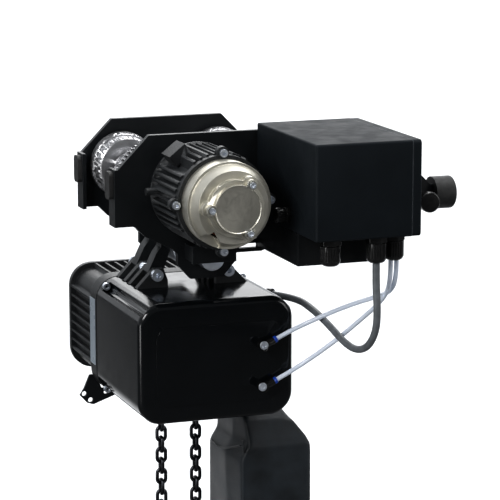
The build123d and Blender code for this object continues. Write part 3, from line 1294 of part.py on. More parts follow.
# sprung safety latch: a tongue between two cheeks on a pin through the hook
LATCH = [(-22.3, 8.8), (-20.0, 6.6), (-2, 21), (6, 25.5), (14, 26.5), (15, 31), (12, 35.5), (6, 35.5),
         (1, 31.5), (-6, 25.5)]
with BuildPart() as safety_latch:
    with BuildSketch(facing(CHAIN_Y + 10.5)):
        outline(*[(x, HOOK_Z + z) for x, z in LATCH])
    extrude(amount=21)
    with Locations((12, CHAIN_Y, HOOK_Z + 25)):
        Box(32, 17.8, 40, mode=Mode.SUBTRACT)
    with BuildSketch(facing(CHAIN_Y + 11.5)):
        with Locations((10, HOOK_Z + 31)):
            Circle(2)
    extrude(amount=23)
safety_latch.part.label = "safety_latch"
export_step(safety_latch.part, "parts/safety_latch.step")

# ================================================================ FREE CORDS
def cord_tube(route, radius, name):
    """Round tube along straight runs joined by tangent arcs, as large as the runs allow."""
    points = [Vector(*p) for p in route]
    runs = [(b - a).length for a, b in zip(points, points[1:])]
    turns = [radians((b - a).get_angle(c - b)) for a, b, c in zip(points, points[1:], points[2:])]
    radii = [0.45 * min(runs[i], runs[i + 1]) / tan(turn / 2) for i, turn in enumerate(turns)]
    print(name, "radii in diameters", [round(r / radius / 2, 1) for r in radii])
    with BuildPart() as tube:
        with BuildLine() as line:
            FilletPolyline(*points, radius=radii)
        with BuildSketch(Plane(origin=points[0], z_dir=points[1] - points[0])):
            Circle(radius)
        sweep(path=line.wire())
    length = line.wire().length
    share = tube.part.volume / (pi * radius ** 2 * length)
    print(name, "length", round(length, 1), "volume over section times length", round(share, 4))
    return tube.part


GLAND_FACE = SHOULDER + GLAND_OUT * GLAND_REACH
MOTOR_CABLE = (
    (158, -280, -46), (158, -280, -76), (160, -281, -107), (161, -275, -136), (158, -257, -160),
    (153, -231, -170), (147, -202, -165), (142, -162, -150), (137, -118, -138), (130, -74, -130.5),
    tuple(GLAND_FACE),
)
UPPER_TUBE = (
    tuple(Vector(FITTING_X, FITTING_Y, FITTING_Z[0]) + out * REACH), (100.8, -138, -157.9),
    (129, -151, -143), (155, -168, -128), (175, -191, -115), (187, -218, -104), (192, -246, -93),
    (190, -270, -72), (190, -270, -46),
)
LOWER_TUBE = (
    tuple(Vector(FITTING_X, FITTING_Y, FITTING_Z[1]) + out * REACH), (100.8, -138, -212.9),
    (130, -150, -191), (153, -173, -165), (169, -201, -138), (179, -231, -114), (183, -257, -92),
    (182, -270, -70), (182, -270, -46),
)

motor_cable_part = cord_tube(MOTOR_CABLE, CABLE_R, "motor_cable")
with BuildPart() as motor_cable:
    add(motor_cable_part)
motor_cable.part.label = "motor_cable"
export_step(motor_cable.part, "parts/motor_cable.step")

upper_tube_part = cord_tube(UPPER_TUBE, TUBE_R, "upper_tube")
with BuildPart() as upper_tube:
    add(upper_tube_part)
upper_tube.part.label = "upper_tube"
export_step(upper_tube.part, "parts/upper_tube.step")

lower_tube_part = cord_tube(LOWER_TUBE, TUBE_R, "lower_tube")
with BuildPart() as lower_tube:
    add(lower_tube_part)
lower_tube.part.label = "lower_tube"
export_step(lower_tube.part, "parts/lower_tube.step")
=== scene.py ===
# %% [markdown]
# # A chain hoist under a powered beam trolley
#
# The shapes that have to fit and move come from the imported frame, and stay where it
# puts them. This notebook dresses that frame: it sets up the camera and the light, lays
# the free cords, models the soft and the fine pieces by hand, and gives every surface
# its finish. All lengths are metres.

# %% Load the frame
import json
from math import cos, pi, radians, sin

import bpy
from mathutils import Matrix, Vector

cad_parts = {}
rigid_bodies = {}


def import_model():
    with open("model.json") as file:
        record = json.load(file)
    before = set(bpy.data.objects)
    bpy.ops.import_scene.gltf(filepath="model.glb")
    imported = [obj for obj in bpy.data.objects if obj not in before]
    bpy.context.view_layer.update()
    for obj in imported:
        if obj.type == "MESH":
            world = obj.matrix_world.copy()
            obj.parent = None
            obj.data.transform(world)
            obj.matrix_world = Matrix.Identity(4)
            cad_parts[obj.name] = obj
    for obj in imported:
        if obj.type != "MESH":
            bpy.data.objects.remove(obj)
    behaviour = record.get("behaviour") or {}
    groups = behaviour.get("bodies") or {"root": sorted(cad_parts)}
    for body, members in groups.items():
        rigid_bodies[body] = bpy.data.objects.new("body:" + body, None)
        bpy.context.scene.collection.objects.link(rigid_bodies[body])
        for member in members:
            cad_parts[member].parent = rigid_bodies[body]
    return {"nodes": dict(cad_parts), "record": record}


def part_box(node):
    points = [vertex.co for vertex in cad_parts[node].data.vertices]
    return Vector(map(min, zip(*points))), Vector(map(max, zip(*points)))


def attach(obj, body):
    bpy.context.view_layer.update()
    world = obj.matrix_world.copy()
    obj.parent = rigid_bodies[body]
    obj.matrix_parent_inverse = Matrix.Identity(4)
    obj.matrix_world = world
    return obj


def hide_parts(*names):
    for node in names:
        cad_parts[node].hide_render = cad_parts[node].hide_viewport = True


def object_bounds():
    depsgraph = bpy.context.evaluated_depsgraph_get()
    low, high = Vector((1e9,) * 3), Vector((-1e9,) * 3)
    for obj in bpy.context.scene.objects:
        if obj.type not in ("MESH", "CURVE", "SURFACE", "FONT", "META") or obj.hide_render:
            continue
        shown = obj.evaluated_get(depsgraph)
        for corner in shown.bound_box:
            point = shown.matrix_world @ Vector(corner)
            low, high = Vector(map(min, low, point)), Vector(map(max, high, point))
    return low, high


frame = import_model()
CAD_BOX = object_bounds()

MM = 0.001
print("frame box", [[round(x, 3) for x in corner] for corner in CAD_BOX])

# %% [markdown]
# ## Camera
# A product is usually shown from a little above and to one side, with a long lens so
# that parallel edges stay nearly parallel. The camera could be aimed with a Track To
# constraint, but plain angles are easier to read: a turn about the vertical and a tilt
# down. Its place is found by backing away from a point near the middle of the hoist.

# %% Place the camera
TURN, TILT = radians(20), radians(11)
DISTANCE = 3.3
ALONG_RIGHT, ALONG_UP = 0.086, -0.06933   # the aim, beside and below the frame's origin
LENS, SENSOR = 178.2, 36.0                # millimetres, as lenses are named

right = Vector((cos(TURN), -sin(TURN), 0))
forward = Vector((sin(TURN) * cos(TILT), cos(TURN) * cos(TILT), -sin(TILT)))
up = right.cross(forward)

bpy.ops.object.camera_add(
    location=right * ALONG_RIGHT + up * ALONG_UP - forward * DISTANCE,
    rotation=(pi / 2 - TILT, 0, -TURN),
)
camera = bpy.context.object
camera.name = "camera"
camera.data.lens = LENS
camera.data.sensor_width = SENSOR
bpy.context.scene.camera = camera
print("camera at", [round(x, 2) for x in camera.location])

# %% [markdown]
# ## A hand for materials
# Shader maths drawn as nodes is hard to read back. Here one small class wraps an output
# socket and lets ordinary arithmetic add the Math nodes, and a second one stands for a
# material and makes any other node from its type, its settings and its sockets.

# %% Socket arithmetic
class Wire:
    """An output socket of a node, for use in expressions."""

    def __init__(self, finish, socket):
        self.finish, self.socket = finish, socket

    def maths(self, operation, *values):
        return self.finish.node("ShaderNodeMath", {"operation": operation},
                                dict(enumerate(values)))

    def __add__(self, other):
        return self.maths("ADD", self, other)

    def __rsub__(self, other):
        return self.maths("SUBTRACT", other, self)

    def __mul__(self, other):
        return self.maths("MULTIPLY", self, other)

    def sine(self):
        return self.maths("SINE", self)

    def clamped(self):
        return self.finish.node("ShaderNodeClamp", {}, {"Value": self})


# %% A material and its nodes
class Finish:
    """A surface finish: a Principled shader whose sockets are set or fed."""

    EDGE_GAIN = 7.0      # how fast the edge mask reaches 1 as the surface turns
    BEVEL_SAMPLES = 4

    def __init__(self, name):
        self.material = bpy.data.materials.new(name)
        self.material.use_nodes = True
        self.tree = self.material.node_tree
        self.shader = self.tree.nodes["Principled BSDF"]
        self.place = self.node("ShaderNodeTexCoord", {}, {}, "Object")

    def node(self, kind, settings, sockets, out=0):
        """Adds a node, with its settings and what its sockets get, and returns one output."""
        made = self.tree.nodes.new(kind)
        for key, value in settings.items():
            setattr(made, key, value)
        for key, value in sockets.items():
            self.feed(made.inputs[key], value)
        return Wire(self, made.outputs[out])

    def feed(self, socket, value):
        """Links a wire to a socket, or sets the socket to a plain value."""
        if isinstance(value, Wire):
            self.tree.links.new(value.socket, socket)
        else:
            socket.default_value = value

    def surface(self, **values):
        """Sets the shader's sockets; an underscore in a name stands for a space."""
        for name, value in values.items():
            self.feed(self.shader.inputs[name.replace("_", " ")], value)

    def noise(self, size, detail=3.0, place=None):
        """Cloudy value from 0 to 1 whose lumps are about `size` metres."""
        return self.node("ShaderNodeTexNoise", {},
                         {"Vector": place or self.place, "Scale": 1 / size, "Detail": detail})

    def spread(self, value, low, high):
        """Stretches the middle of a value so that it runs from low to high."""
        return self.node("ShaderNodeMapRange", {"clamp": True},
                         {"Value": value, "From Min": 0.3, "From Max": 0.7,
                          "To Min": low, "To Max": high})

    def mix(self, share, first, second):
        """A colour between two."""
        return self.node("ShaderNodeMix", {"data_type": "RGBA"},
                         {0: share, 6: first, 7: second}, 2)

    def axis(self, letter):
        """One coordinate of the place on the piece."""
        return self.node("ShaderNodeSeparateXYZ", {}, {0: self.place}, letter)

    def soft_edges(self, radius):
        """The surface direction, rounded over near every edge."""
        return self.node("ShaderNodeBevel", {"samples": self.BEVEL_SAMPLES}, {"Radius": radius})

    def edge_mask(self, rounded):
        """0 on flats, towards 1 where the rounded direction leaves the true one."""
        flat = self.node("ShaderNodeNewGeometry", {}, {}, "True Normal")
        same = self.node("ShaderNodeVectorMath", {"operation": "DOT_PRODUCT"},
                         {0: rounded, 1: flat}, "Value")
        return ((1 - same) * self.EDGE_GAIN).clamped()

    def bump(self, height, depth, rounded=None):
        """Turns a height pattern into relief `depth` metres deep."""
        sockets = {"Height": height, "Distance": depth, "Strength": 1.0}
        if rounded:
            sockets["Normal"] = rounded
        self.surface(Normal=self.node("ShaderNodeBump", {}, sockets))


def grey(value, blue=0.0):
    """A neutral tone, or a slightly blue one."""
    return (value, value * (1 + blue / 2), value * (1 + blue), 1.0)


print("socket arithmetic is ready")

# %% [markdown]
# ## Free cords
# Three cords leave the hoist: a motor cable and two thin tubes, all running from the
# body up into the control box's glands. Each could be a chain of cylinders, but a cord
# has no corners, so each is one NURBS curve whose control points are the route. A round
# bevel gives it thickness, carried by the radius at each point, so that the curve's own
# box fits the cord. The order is set after the points, or it stays at two and gives
# straight runs.

# %% Routes of the cords
MOTOR_CABLE = (
    (0.158, -0.280, -0.046), (0.158, -0.280, -0.076), (0.160, -0.281, -0.107),
    (0.161, -0.275, -0.136), (0.158, -0.257, -0.160), (0.153, -0.231, -0.170),
    (0.147, -0.202, -0.165), (0.142, -0.162, -0.150), (0.137, -0.118, -0.138),
    (0.130, -0.074, -0.1305), (0.1072, -0.0436, -0.1305),
)
UPPER_TUBE = (
    (0.07813, -0.138, -0.16855), (0.1008, -0.138, -0.1579), (0.129, -0.151, -0.143),
    (0.155, -0.168, -0.128), (0.175, -0.191, -0.115), (0.187, -0.218, -0.104),
    (0.192, -0.246, -0.093), (0.190, -0.270, -0.072), (0.190, -0.270, -0.046),
)
LOWER_TUBE = (
    (0.07813, -0.138, -0.22355), (0.1008, -0.138, -0.2129), (0.130, -0.150, -0.191),
    (0.153, -0.173, -0.165), (0.169, -0.201, -0.138), (0.179, -0.231, -0.114),
    (0.183, -0.257, -0.092), (0.182, -0.270, -0.070), (0.182, -0.270, -0.046),
)
CABLE_D, TUBE_D = 0.0095, 0.006
ROUND_STEPS, STEPS_PER_POINT = 6, 16


def lay_cord(name, route, diameter):
    """One free cord along its route, in place of the frame's plain tube."""
    curve = bpy.data.curves.new(name, "CURVE")
    curve.dimensions = "3D"
    curve.bevel_depth = 1.0                   # scaled by the radius at each point
    curve.bevel_resolution = ROUND_STEPS
    curve.resolution_u = STEPS_PER_POINT
    curve.use_fill_caps = True
    spline = curve.splines.new("NURBS")
    spline.points.add(len(route) - 1)
    for point, place in zip(spline.points, route):
        point.co = (*place, 1.0)
        point.radius = diameter / 2
    spline.order_u = 3
    spline.use_endpoint_u = True
    cord = bpy.data.objects.new(name, curve)
    bpy.context.scene.collection.objects.link(cord)
    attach(cord, "hoist")
    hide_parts(name.removesuffix("_laid"))
    return cord


# %% Lay the cords
cable = lay_cord("motor_cable_laid", MOTOR_CABLE, CABLE_D)
tubes = [
    lay_cord("upper_tube_laid", UPPER_TUBE, TUBE_D),
    lay_cord("lower_tube_laid", LOWER_TUBE, TUBE_D),
]
print("cords laid:", cable.name, *(tube.name for tube in tubes))

# %% [markdown]
# ## Light and floor
# Black machinery is drawn by what it reflects. A pale room behind the hoist gives flat
# tops a soft grey sheen, and a dim one in front keeps the gloss black. The key models
# the shapes from the upper left. The top and side lamps stand where the rounded front
# edges mirror them, so they draw thin bright lines there. A weak fill on the right
# keeps the cords out of shade, and a wide lamp far behind whitens the floor. Small hard
# lamps would leave white dots on gloss, so all of them are wide.

# %% The pale room
ROOM_TONE, ROOM_STRENGTH = (0.93, 0.96, 1.0, 1.0), 0.7
NEAR_SHARE, FAR_SHARE = 0.26, 1.0         # the room is dim in front and bright behind the hoist
NEAR_UNTIL, FAR_FROM = -0.6, 0.75         # where along the depth the change starts and ends
world = bpy.data.worlds.new("pale_room")
world.use_nodes = True
backdrop = world.node_tree.nodes["Background"]
backdrop.inputs["Color"].default_value = ROOM_TONE
direction = world.node_tree.nodes.new("ShaderNodeTexCoord")
apart = world.node_tree.nodes.new("ShaderNodeSeparateXYZ")
depth = world.node_tree.nodes.new("ShaderNodeMapRange")
depth.inputs["From Min"].default_value = NEAR_UNTIL
depth.inputs["From Max"].default_value = FAR_FROM
depth.inputs["To Min"].default_value = ROOM_STRENGTH * NEAR_SHARE
depth.inputs["To Max"].default_value = ROOM_STRENGTH * FAR_SHARE
world.node_tree.links.new(direction.outputs["Generated"], apart.inputs[0])
world.node_tree.links.new(apart.outputs["Y"], depth.inputs["Value"])
world.node_tree.links.new(depth.outputs[0], backdrop.inputs["Strength"])
bpy.context.scene.world = world
bpy.context.scene.view_settings.view_transform = "Standard"
bpy.context.scene.view_settings.look = "Medium High Contrast"

LIGHTS = (  # name, place, aim, size, power
    ("key", (-1.9, -1.5, 1.2), (0.0, -0.1, -0.1), 0.9, 36.0),
    ("top", (0.75, -0.6, 2.2), (0.1, 0.0, -0.1), 1.2, 38.0),    # lines along the top front edges
    ("side", (-2.4, -0.9, -0.5), (0.0, -0.1, -0.1), 0.9, 12.0),  # lines down the left front edges
    ("fill", (2.0, -1.8, 0.3), (0.1, -0.1, -0.15), 1.0, 12.0),
    ("back", (0.8, 2.2, 0.9), (0.0, 0.0, -0.1), 1.4, 7.0),
    ("sweep", (2.5, 7.0, 4.2), (2.5, 7.0, -0.8), 8.0, 460.0),   # whitens the floor far behind
)
for name, place, aim, size, power in LIGHTS:
    towards = Vector(aim) - Vector(place)
    bpy.ops.object.light_add(type="AREA", location=place,
                             rotation=towards.to_track_quat("-Z", "Y").to_euler())
    lamp = bpy.context.object
    lamp.name = name
    lamp.data.size = size
    lamp.data.energy = power
print("lights:", [row[0] for row in LIGHTS])

# %% The floor
FLOOR_GAP, FLOOR_SIZE = 0.12, 60.0
LEFT_FADE, FRONT_FADE = (-0.7, -0.05), (-0.1, 0.9)   # from dark to white along X and along Y
bpy.ops.mesh.primitive_plane_add(size=FLOOR_SIZE, location=(0, 0, CAD_BOX[0][2] - FLOOR_GAP))
floor = bpy.context.object
floor.name = "floor"
pale = Finish("pale_floor")


def fade(letter, start, end):
    """0 before start, 1 after end, along one axis of the floor."""
    return pale.node("ShaderNodeMapRange", {"interpolation_type": "SMOOTHSTEP"},
                     {"Value": pale.axis(letter), "From Min": start, "From Max": end})


# white behind the hoist, dark in front and to the left, so that gloss stays black there
white_share = fade("X", *LEFT_FADE) * fade("Y", *FRONT_FADE)
pale.surface(Base_Color=pale.mix(white_share, grey(0.10, 0.02), grey(0.90, 0.02)),
             Roughness=pale.spread(pale.noise(0.8), 0.68, 0.72))
floor.data.materials.append(pale.material)
print("floor at", round(floor.location.z, 3))

# %% [markdown]
# ## Finishes
# Every finish below starts from the same idea: a base tone with slow variation, a
# roughness that wanders a little, fine relief at the size of the real grain, and edges
# that catch the light, partly because paint thins there and partly as a painted highlight.
# Object coordinates carry the patterns, so they stay put when the hoist moves.

# %% Painted and powder-coated steel
def enamel(name, tone, edge_wear_and_highlight, roughness, grain, depth, edge=0.0007, shine=0.3):
    """Sprayed paint: orange peel, and a paler line along the edges, partly thin paint and partly a
    painted highlight.

    tone, worn: the paint, and what shows at the edges; grain, depth: size and height of
    the peel; edge: how far the edges look rounded; shine: strength of the gloss.
    """
    finish = Finish(name)
    rounded = finish.soft_edges(edge)
    rim = finish.edge_mask(rounded)
    clouds = finish.noise(0.05)
    base = finish.mix(clouds, tone, tuple(1.7 * c for c in tone[:3]) + (1.0,))
    finish.surface(
        Base_Color=finish.mix(rim * 0.6, base, edge_wear_and_highlight),
        Roughness=finish.spread(finish.noise(0.02), roughness - 0.05, roughness + 0.07),
        Specular_IOR_Level=shine,
    )
    finish.bump(finish.noise(grain, 2.0), depth, rounded)
    return finish.material


plate_paint = enamel("plate_paint", grey(0.006, 0.3), grey(0.07, 0.25), 0.4, 0.0016, 0.00002)
# the box's pale edge tone is partly wear and partly a painted highlight along its edges
box_paint = enamel("box_paint", grey(0.007, 0.55), grey(0.22, 0.2), 0.56, 0.0011, 0.00002,
                   edge=0.0012, shine=0.07)
gloss_cover = enamel("gloss_cover", grey(0.003, 0.5), grey(0.01, 0.3), 0.13, 0.03, 0.00002,
                     edge=0.0004, shine=0.4)
# a pale paint for the seam strips: a painted reflection of the light on the covers' gloss, paler still at
# the edges
seam_painted_reflection = enamel("seam_painted_reflection", grey(0.16, 0.35), grey(0.4, 0.2), 0.3, 0.0011, 0.00002)
print("painted finishes are made")


# %% Castings
def casting(name, tone, rubbed, roughness, grain, depth, metallic=0.0):
    """Sand-rough skin: fine lumps, slow paler clouds, rubbed edges."""
    finish = Finish(name)
    rounded = finish.soft_edges(0.0008)
    rim = finish.edge_mask(rounded)
    lumps = finish.noise(grain, 5.0)
    base = finish.mix(finish.spread(finish.noise(grain * 14), 0.0, 0.55), tone, rubbed)
    finish.surface(
        Base_Color=finish.mix(rim * 0.45, base, rubbed),
        Roughness=finish.spread(lumps, roughness - 0.08, roughness + 0.1),
        Metallic=metallic,
    )
    finish.bump(lumps, depth, rounded)
    return finish.material


cast_black = casting("cast_black", grey(0.006, 0.2), grey(0.022, 0.25), 0.5, 0.0017, 0.00014)
cast_aluminium = casting("cast_aluminium", (0.56, 0.54, 0.47, 1), (0.74, 0.72, 0.65, 1),
                         0.46, 0.0012, 0.00007, 1.0)
print("cast finishes are made")


# %% Bare and plated metal
def plated(name, tone, shade, roughness, grain):
    """Plated or machined metal: clouded tone and fine scratches along the beam's line."""
    finish = Finish(name)
    rounded = finish.soft_edges(0.0004)
    stretched = finish.node("ShaderNodeMapping", {}, {"Vector": finish.place,
                                                     "Scale": (0.2, 1.0, 1.0)})
    scratches = finish.noise(grain, 3.0, stretched)
    finish.surface(
        Base_Color=finish.mix(finish.spread(finish.noise(0.012), 0.0, 1.0), tone, shade),
        Metallic=1.0,
        Roughness=finish.spread(scratches, roughness - 0.03, roughness + 0.05),
    )
    finish.bump(scratches, 0.000004, rounded)
    return finish.material


zinc = plated("zinc", (0.84, 0.88, 0.94, 1), (0.70, 0.75, 0.83, 1), 0.36, 0.0009)
steel = plated("steel", (0.52, 0.52, 0.53, 1), (0.40, 0.40, 0.41, 1), 0.3, 0.0007)
chain_steel = plated("chain_steel", (0.075, 0.077, 0.085, 1), (0.03, 0.031, 0.035, 1), 0.3, 0.0015)
print("metal finishes are made")


# %% Turned metal about the travel motor
def turned(name, tone, shade, x, z, groove):
    """Lathe rings about an axis that runs across the beam at (x, z)."""
    finish = Finish(name)
    centred = finish.node("ShaderNodeMapping", {}, {"Vector": finish.place, "Location": (-x, 0, -z),
                                                   "Scale": (1.0, 0.0, 1.0)})
    radius = finish.node("ShaderNodeVectorMath", {"operation": "LENGTH"}, {0: centred}, "Value")
    rings = (radius * (2 * pi / groove)).sine() * 0.5 + 0.5
    smear = finish.noise(0.004, 4.0)
    finish.surface(
        Base_Color=finish.mix(smear * 0.5 + rings * 0.25, tone, shade),
        Metallic=1.0,
        Roughness=finish.spread(smear, 0.34, 0.42),
    )
    finish.bump(rings, 0.000016, finish.soft_edges(0.0006))
    return finish.material


low, high = (Vector(corner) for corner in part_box("travel_brake_magnet"))
MOTOR_X, MOTOR_Z = (low.x + high.x) / 2, (low.z + high.z) / 2
turned_cap = turned("turned_cap", (0.62, 0.60, 0.53, 1), (0.50, 0.48, 0.42, 1),
                    MOTOR_X, MOTOR_Z, 0.0009)
print("motor axis at", round(MOTOR_X, 4), round(MOTOR_Z, 4))


# %% Plastics and rubber
def moulded(name, tone, shade, roughness, grain, depth, edge=0.0005):
    """Moulded plastic or rubber: even tone, fine spark-eroded grain."""
    finish = Finish(name)
    rounded = finish.soft_edges(edge)
    finish.surface(
        Base_Color=finish.mix(finish.spread(finish.noise(grain * 12), 0.0, 1.0), tone, shade),
        Roughness=finish.spread(finish.noise(grain * 5), roughness - 0.05, roughness + 0.06),
    )
    finish.bump(finish.noise(grain, 2.0), depth, rounded)
    return finish.material


gland_plastic = moulded("gland_plastic", grey(0.006), grey(0.012), 0.2, 0.0009, 0.000012)
rubber = moulded("rubber", grey(0.012), grey(0.03), 0.62, 0.0012, 0.00006)
cable_sheath = moulded("cable_sheath", grey(0.105, 0.18), grey(0.15, 0.16), 0.46, 0.0007, 0.00002)
collar_blue = moulded("collar_blue", (0.012, 0.055, 0.36, 1), (0.02, 0.08, 0.46, 1), 0.24, 0.001, 0.00001)
device_grey = moulded("device_grey", grey(0.40), grey(0.46), 0.45, 0.0011, 0.00003)
hook_enamel = enamel("hook_enamel", (0.30, 0.02, 0.012, 1), (0.30, 0.27, 0.26, 1), 0.4, 0.0022, 0.00008)
print("plastic finishes are made")


# %% Clear tube
def clear_plastic(name):
    """Natural polyurethane tube: milky, slightly blue, glossy."""
    finish = Finish(name)
    finish.surface(
        Base_Color=finish.mix(finish.noise(0.006), (0.72, 0.80, 0.94, 1), (0.86, 0.91, 1.0, 1)),
        Roughness=finish.spread(finish.noise(0.003), 0.14, 0.24),
        Transmission_Weight=0.1,
        IOR=1.5,
    )
    finish.bump(finish.noise(0.0012), 0.00001)
    return finish.material


clear_tube = clear_plastic("clear_tube")
print("tube finish is made")


# %% Windings
WIRE_PITCH = 0.0011


def windings(name):
    """Varnished copper turns, layer behind layer along a motor's axis."""
    finish = Finish(name)
    depth = finish.axis("Y")
    layers = (depth * (2 * pi / WIRE_PITCH)).sine() * 0.5 + 0.5
    finish.surface(
        Base_Color=finish.mix(layers, (0.20, 0.07, 0.03, 1), (0.46, 0.20, 0.09, 1)),
        Metallic=0.6,
        Roughness=finish.spread(finish.noise(0.002), 0.3, 0.5),
    )
    finish.bump(layers + finish.noise(0.0012), 0.0002)
    return finish.material


copper = windings("copper_windings")
print("winding finish is made")


# %% Woven bag cloth
THREAD_PITCH = 0.0013


def coated_weave(name):
    """Black polyester weave under a thin rubbery coat, with a blue-grey sheen."""
    finish = Finish(name)
    warp = ((finish.axis("X") + finish.axis("Y")) * (2 * pi / THREAD_PITCH)).sine() * 0.5 + 0.5
    weft = (finish.axis("Z") * (2 * pi / THREAD_PITCH)).sine() * 0.5 + 0.5
    clouds = finish.noise(0.03, 4.0)
    finish.surface(
        Base_Color=finish.mix(finish.spread(clouds, 0.0, 1.0), grey(0.007, 0.7), grey(0.016, 0.8)),
        Roughness=finish.spread(clouds, 0.36, 0.5),
        Sheen_Weight=0.25,
        Sheen_Roughness=0.4,
    )
    finish.bump(warp * weft + clouds * 2.0, 0.00012)
    return finish.material


bag_cloth = coated_weave("bag_cloth")
print("bag finish is made")

# %% [markdown]
# ## Dressing the frame's own parts
# Most of the hoist is already the right shape in the frame. Two kinds of work are left
# on it. A part that shows in bulk is copied, its loose triangles are merged, flats are
# dissolved back to single faces, and a narrow bevel rounds its edges as a press or a
# casting mould would. A part that is small, inside, or already rounded only gets its
# finish.

# %% Finish for each part
FINISHES = {
    plate_paint: ("front_side_plate", "rear_side_plate", "shaft_keepers", "box_carrier",
                  "stirrups", "lug_bracket", "bag_hanger"),
    box_paint: ("control_box", "control_box_lid"),
    gloss_cover: ("front_cover",),
    cast_black: ("travel_gearcase", "travel_motor_housing", "travel_end_shield", "hoist_housing",
                 "rear_cover", "block_shells"),
    cast_aluminium: ("travel_brake_housing", "gearbox_cover"),
    turned_cap: ("travel_brake_cap",),
    zinc: ("suspension_shaft", "shaft_spacers", "travel_motor_screws", "suspension_sleeve",
           "hoist_fasteners", "sheave_axle", "safety_latch"),
    steel: ("wheel_axles", "travel_output_shaft", "travel_bearings", "travel_rotor",
            "travel_brake_disc", "hoist_rotor", "intermediate_shaft", "final_gear",
            "hoist_bearings", "load_wheel", "chain_anchor", "sheave", "drive_wheel_left",
            "drive_wheel_right", "idler_wheel_left", "idler_wheel_right"),
    chain_steel: ("load_chain", "slack_chain"),
    rubber: ("buffers",),
    gland_plastic: ("arm_end_socket", "box_glands", "chain_guide", "shoulder_gland",
                    "tube_fittings"),
    bag_cloth: ("chain_bag",),
    copper: ("travel_stator", "hoist_stator", "travel_brake_magnet"),
    cable_sheath: ("motor_cable",),
    clear_tube: ("upper_tube", "lower_tube"),
    collar_blue: ("tube_collars",),
    device_grey: ("control_devices",),
    hook_enamel: ("hook",),
}
FINISH_OF = {node: material for material, nodes in FINISHES.items() for node in nodes}
SLOT_OF = {row["node"]: row["material_slot"] for row in frame["record"]["subparts"]}
BODY_OF = {node: body for body, nodes in frame["record"]["behaviour"]["bodies"].items()
           for node in nodes}


def wear(piece, material):
    """Gives a piece one finish all over."""
    piece.data.materials.clear()
    piece.data.materials.append(material)


for node, part in frame["nodes"].items():
    for slot in part.material_slots:
        slot.material = FINISH_OF[node]
cable.data.materials.append(cable_sheath)
for tube in tubes:
    tube.data.materials.append(clear_tube)
print(len(FINISH_OF), "parts have a finish,", len(FINISHES), "finishes in use")


# %% Small helpers for modelling
def only(piece):
    """Selects one piece alone and makes it active."""
    bpy.ops.object.select_all(action="DESELECT")
    piece.select_set(True)
    bpy.context.view_layer.objects.active = piece


def edit(piece):
    """Leaves one piece active with none of its faces selected."""
    only(piece)
    bpy.ops.object.mode_set(mode="EDIT")
    bpy.ops.mesh.select_mode(type="FACE")
    bpy.ops.mesh.select_all(action="DESELECT")
    bpy.ops.object.mode_set(mode="OBJECT")


def pick_faces(piece, wanted):
    """Opens edit mode with the faces selected for which wanted(centre, normal) holds.

    Returns how many they are.
    """
    edit(piece)
    count = 0
    for face in piece.data.polygons:
        face.select = bool(wanted(face.center, face.normal))
        count += face.select
    bpy.ops.object.mode_set(mode="EDIT")
    return count


def close_edit():
    bpy.ops.object.mode_set(mode="OBJECT")


def face_outwards(piece):
    """Turns every face's outside outwards."""
    edit(piece)
    bpy.ops.object.mode_set(mode="EDIT")
    bpy.ops.mesh.select_all(action="SELECT")
    bpy.ops.mesh.normals_make_consistent(inside=False)
    close_edit()


def settle(piece):
    """Puts the object's place, turn and scale into its mesh."""
    only(piece)
    bpy.ops.object.transform_apply(location=True, rotation=True, scale=True)


SMOOTH_ANGLE, ROUND_ANGLE = radians(40), radians(32)
DOUBLES_APART, FLAT_WITHIN = 0.00001, radians(0.5)


def bevelled(piece, width, segments=2, angle=radians(35)):
    """Rounds every edge sharper than the angle, and keeps the flats' shading flat."""
    only(piece)
    bpy.ops.object.shade_smooth_by_angle(angle=SMOOTH_ANGLE)
    round_off = piece.modifiers.new("edge_round", "BEVEL")
    round_off.width = width
    round_off.segments = segments
    round_off.limit_method = "ANGLE"
    round_off.angle_limit = angle
    round_off.harden_normals = True
    bpy.ops.object.modifier_apply(modifier=round_off.name)


def mounted(piece, body, material, slot, *nodes):
    """Finishes a modelled piece: its body, its finish, and what it stands for."""
    wear(piece, material)
    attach(piece, body)
    if nodes:
        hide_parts(*nodes)


def merged_copy(node, name):
    """A copy of a part whose loose triangles are one clean mesh again."""
    source = frame["nodes"][node]
    copy = bpy.data.objects.new(name, source.data.copy())
    bpy.context.scene.collection.objects.link(copy)
    only(copy)
    bpy.ops.object.mode_set(mode="EDIT")
    bpy.ops.mesh.select_all(action="SELECT")
    bpy.ops.mesh.remove_doubles(threshold=DOUBLES_APART)
    bpy.ops.mesh.dissolve_limited(angle_limit=FLAT_WITHIN)
    bpy.ops.object.mode_set(mode="OBJECT")
    return copy


# %% Round the edges of the bulky parts
EDGE_ROUNDS = {  # part: radius of its edges, in millimetres
    "front_side_plate": 1.0, "rear_side_plate": 1.0, "shaft_keepers": 0.8, "box_carrier": 0.8,
    "stirrups": 1.2, "lug_bracket": 0.6, "bag_hanger": 0.6, "control_box_lid": 0.8,
    "suspension_sleeve": 0.6, "shaft_spacers": 0.6, "chain_guide": 0.8, "chain_anchor": 0.8,
    "travel_gearcase": 1.2, "block_shells": 0.6, "front_cover": 1.2,
}
for node, radius in EDGE_ROUNDS.items():
    piece = merged_copy(node, node + "_rounded")
    bevelled(piece, radius * MM)
    mounted(piece, BODY_OF[node], FINISH_OF[node], SLOT_OF[node], node)
print("rounded", len(EDGE_ROUNDS), "parts")

# %% [markdown]
# Parts that are round already need no bevel, but flat-shaded facets would show in their
# gloss. Merging them and letting the shading run smooth below an angle is enough.

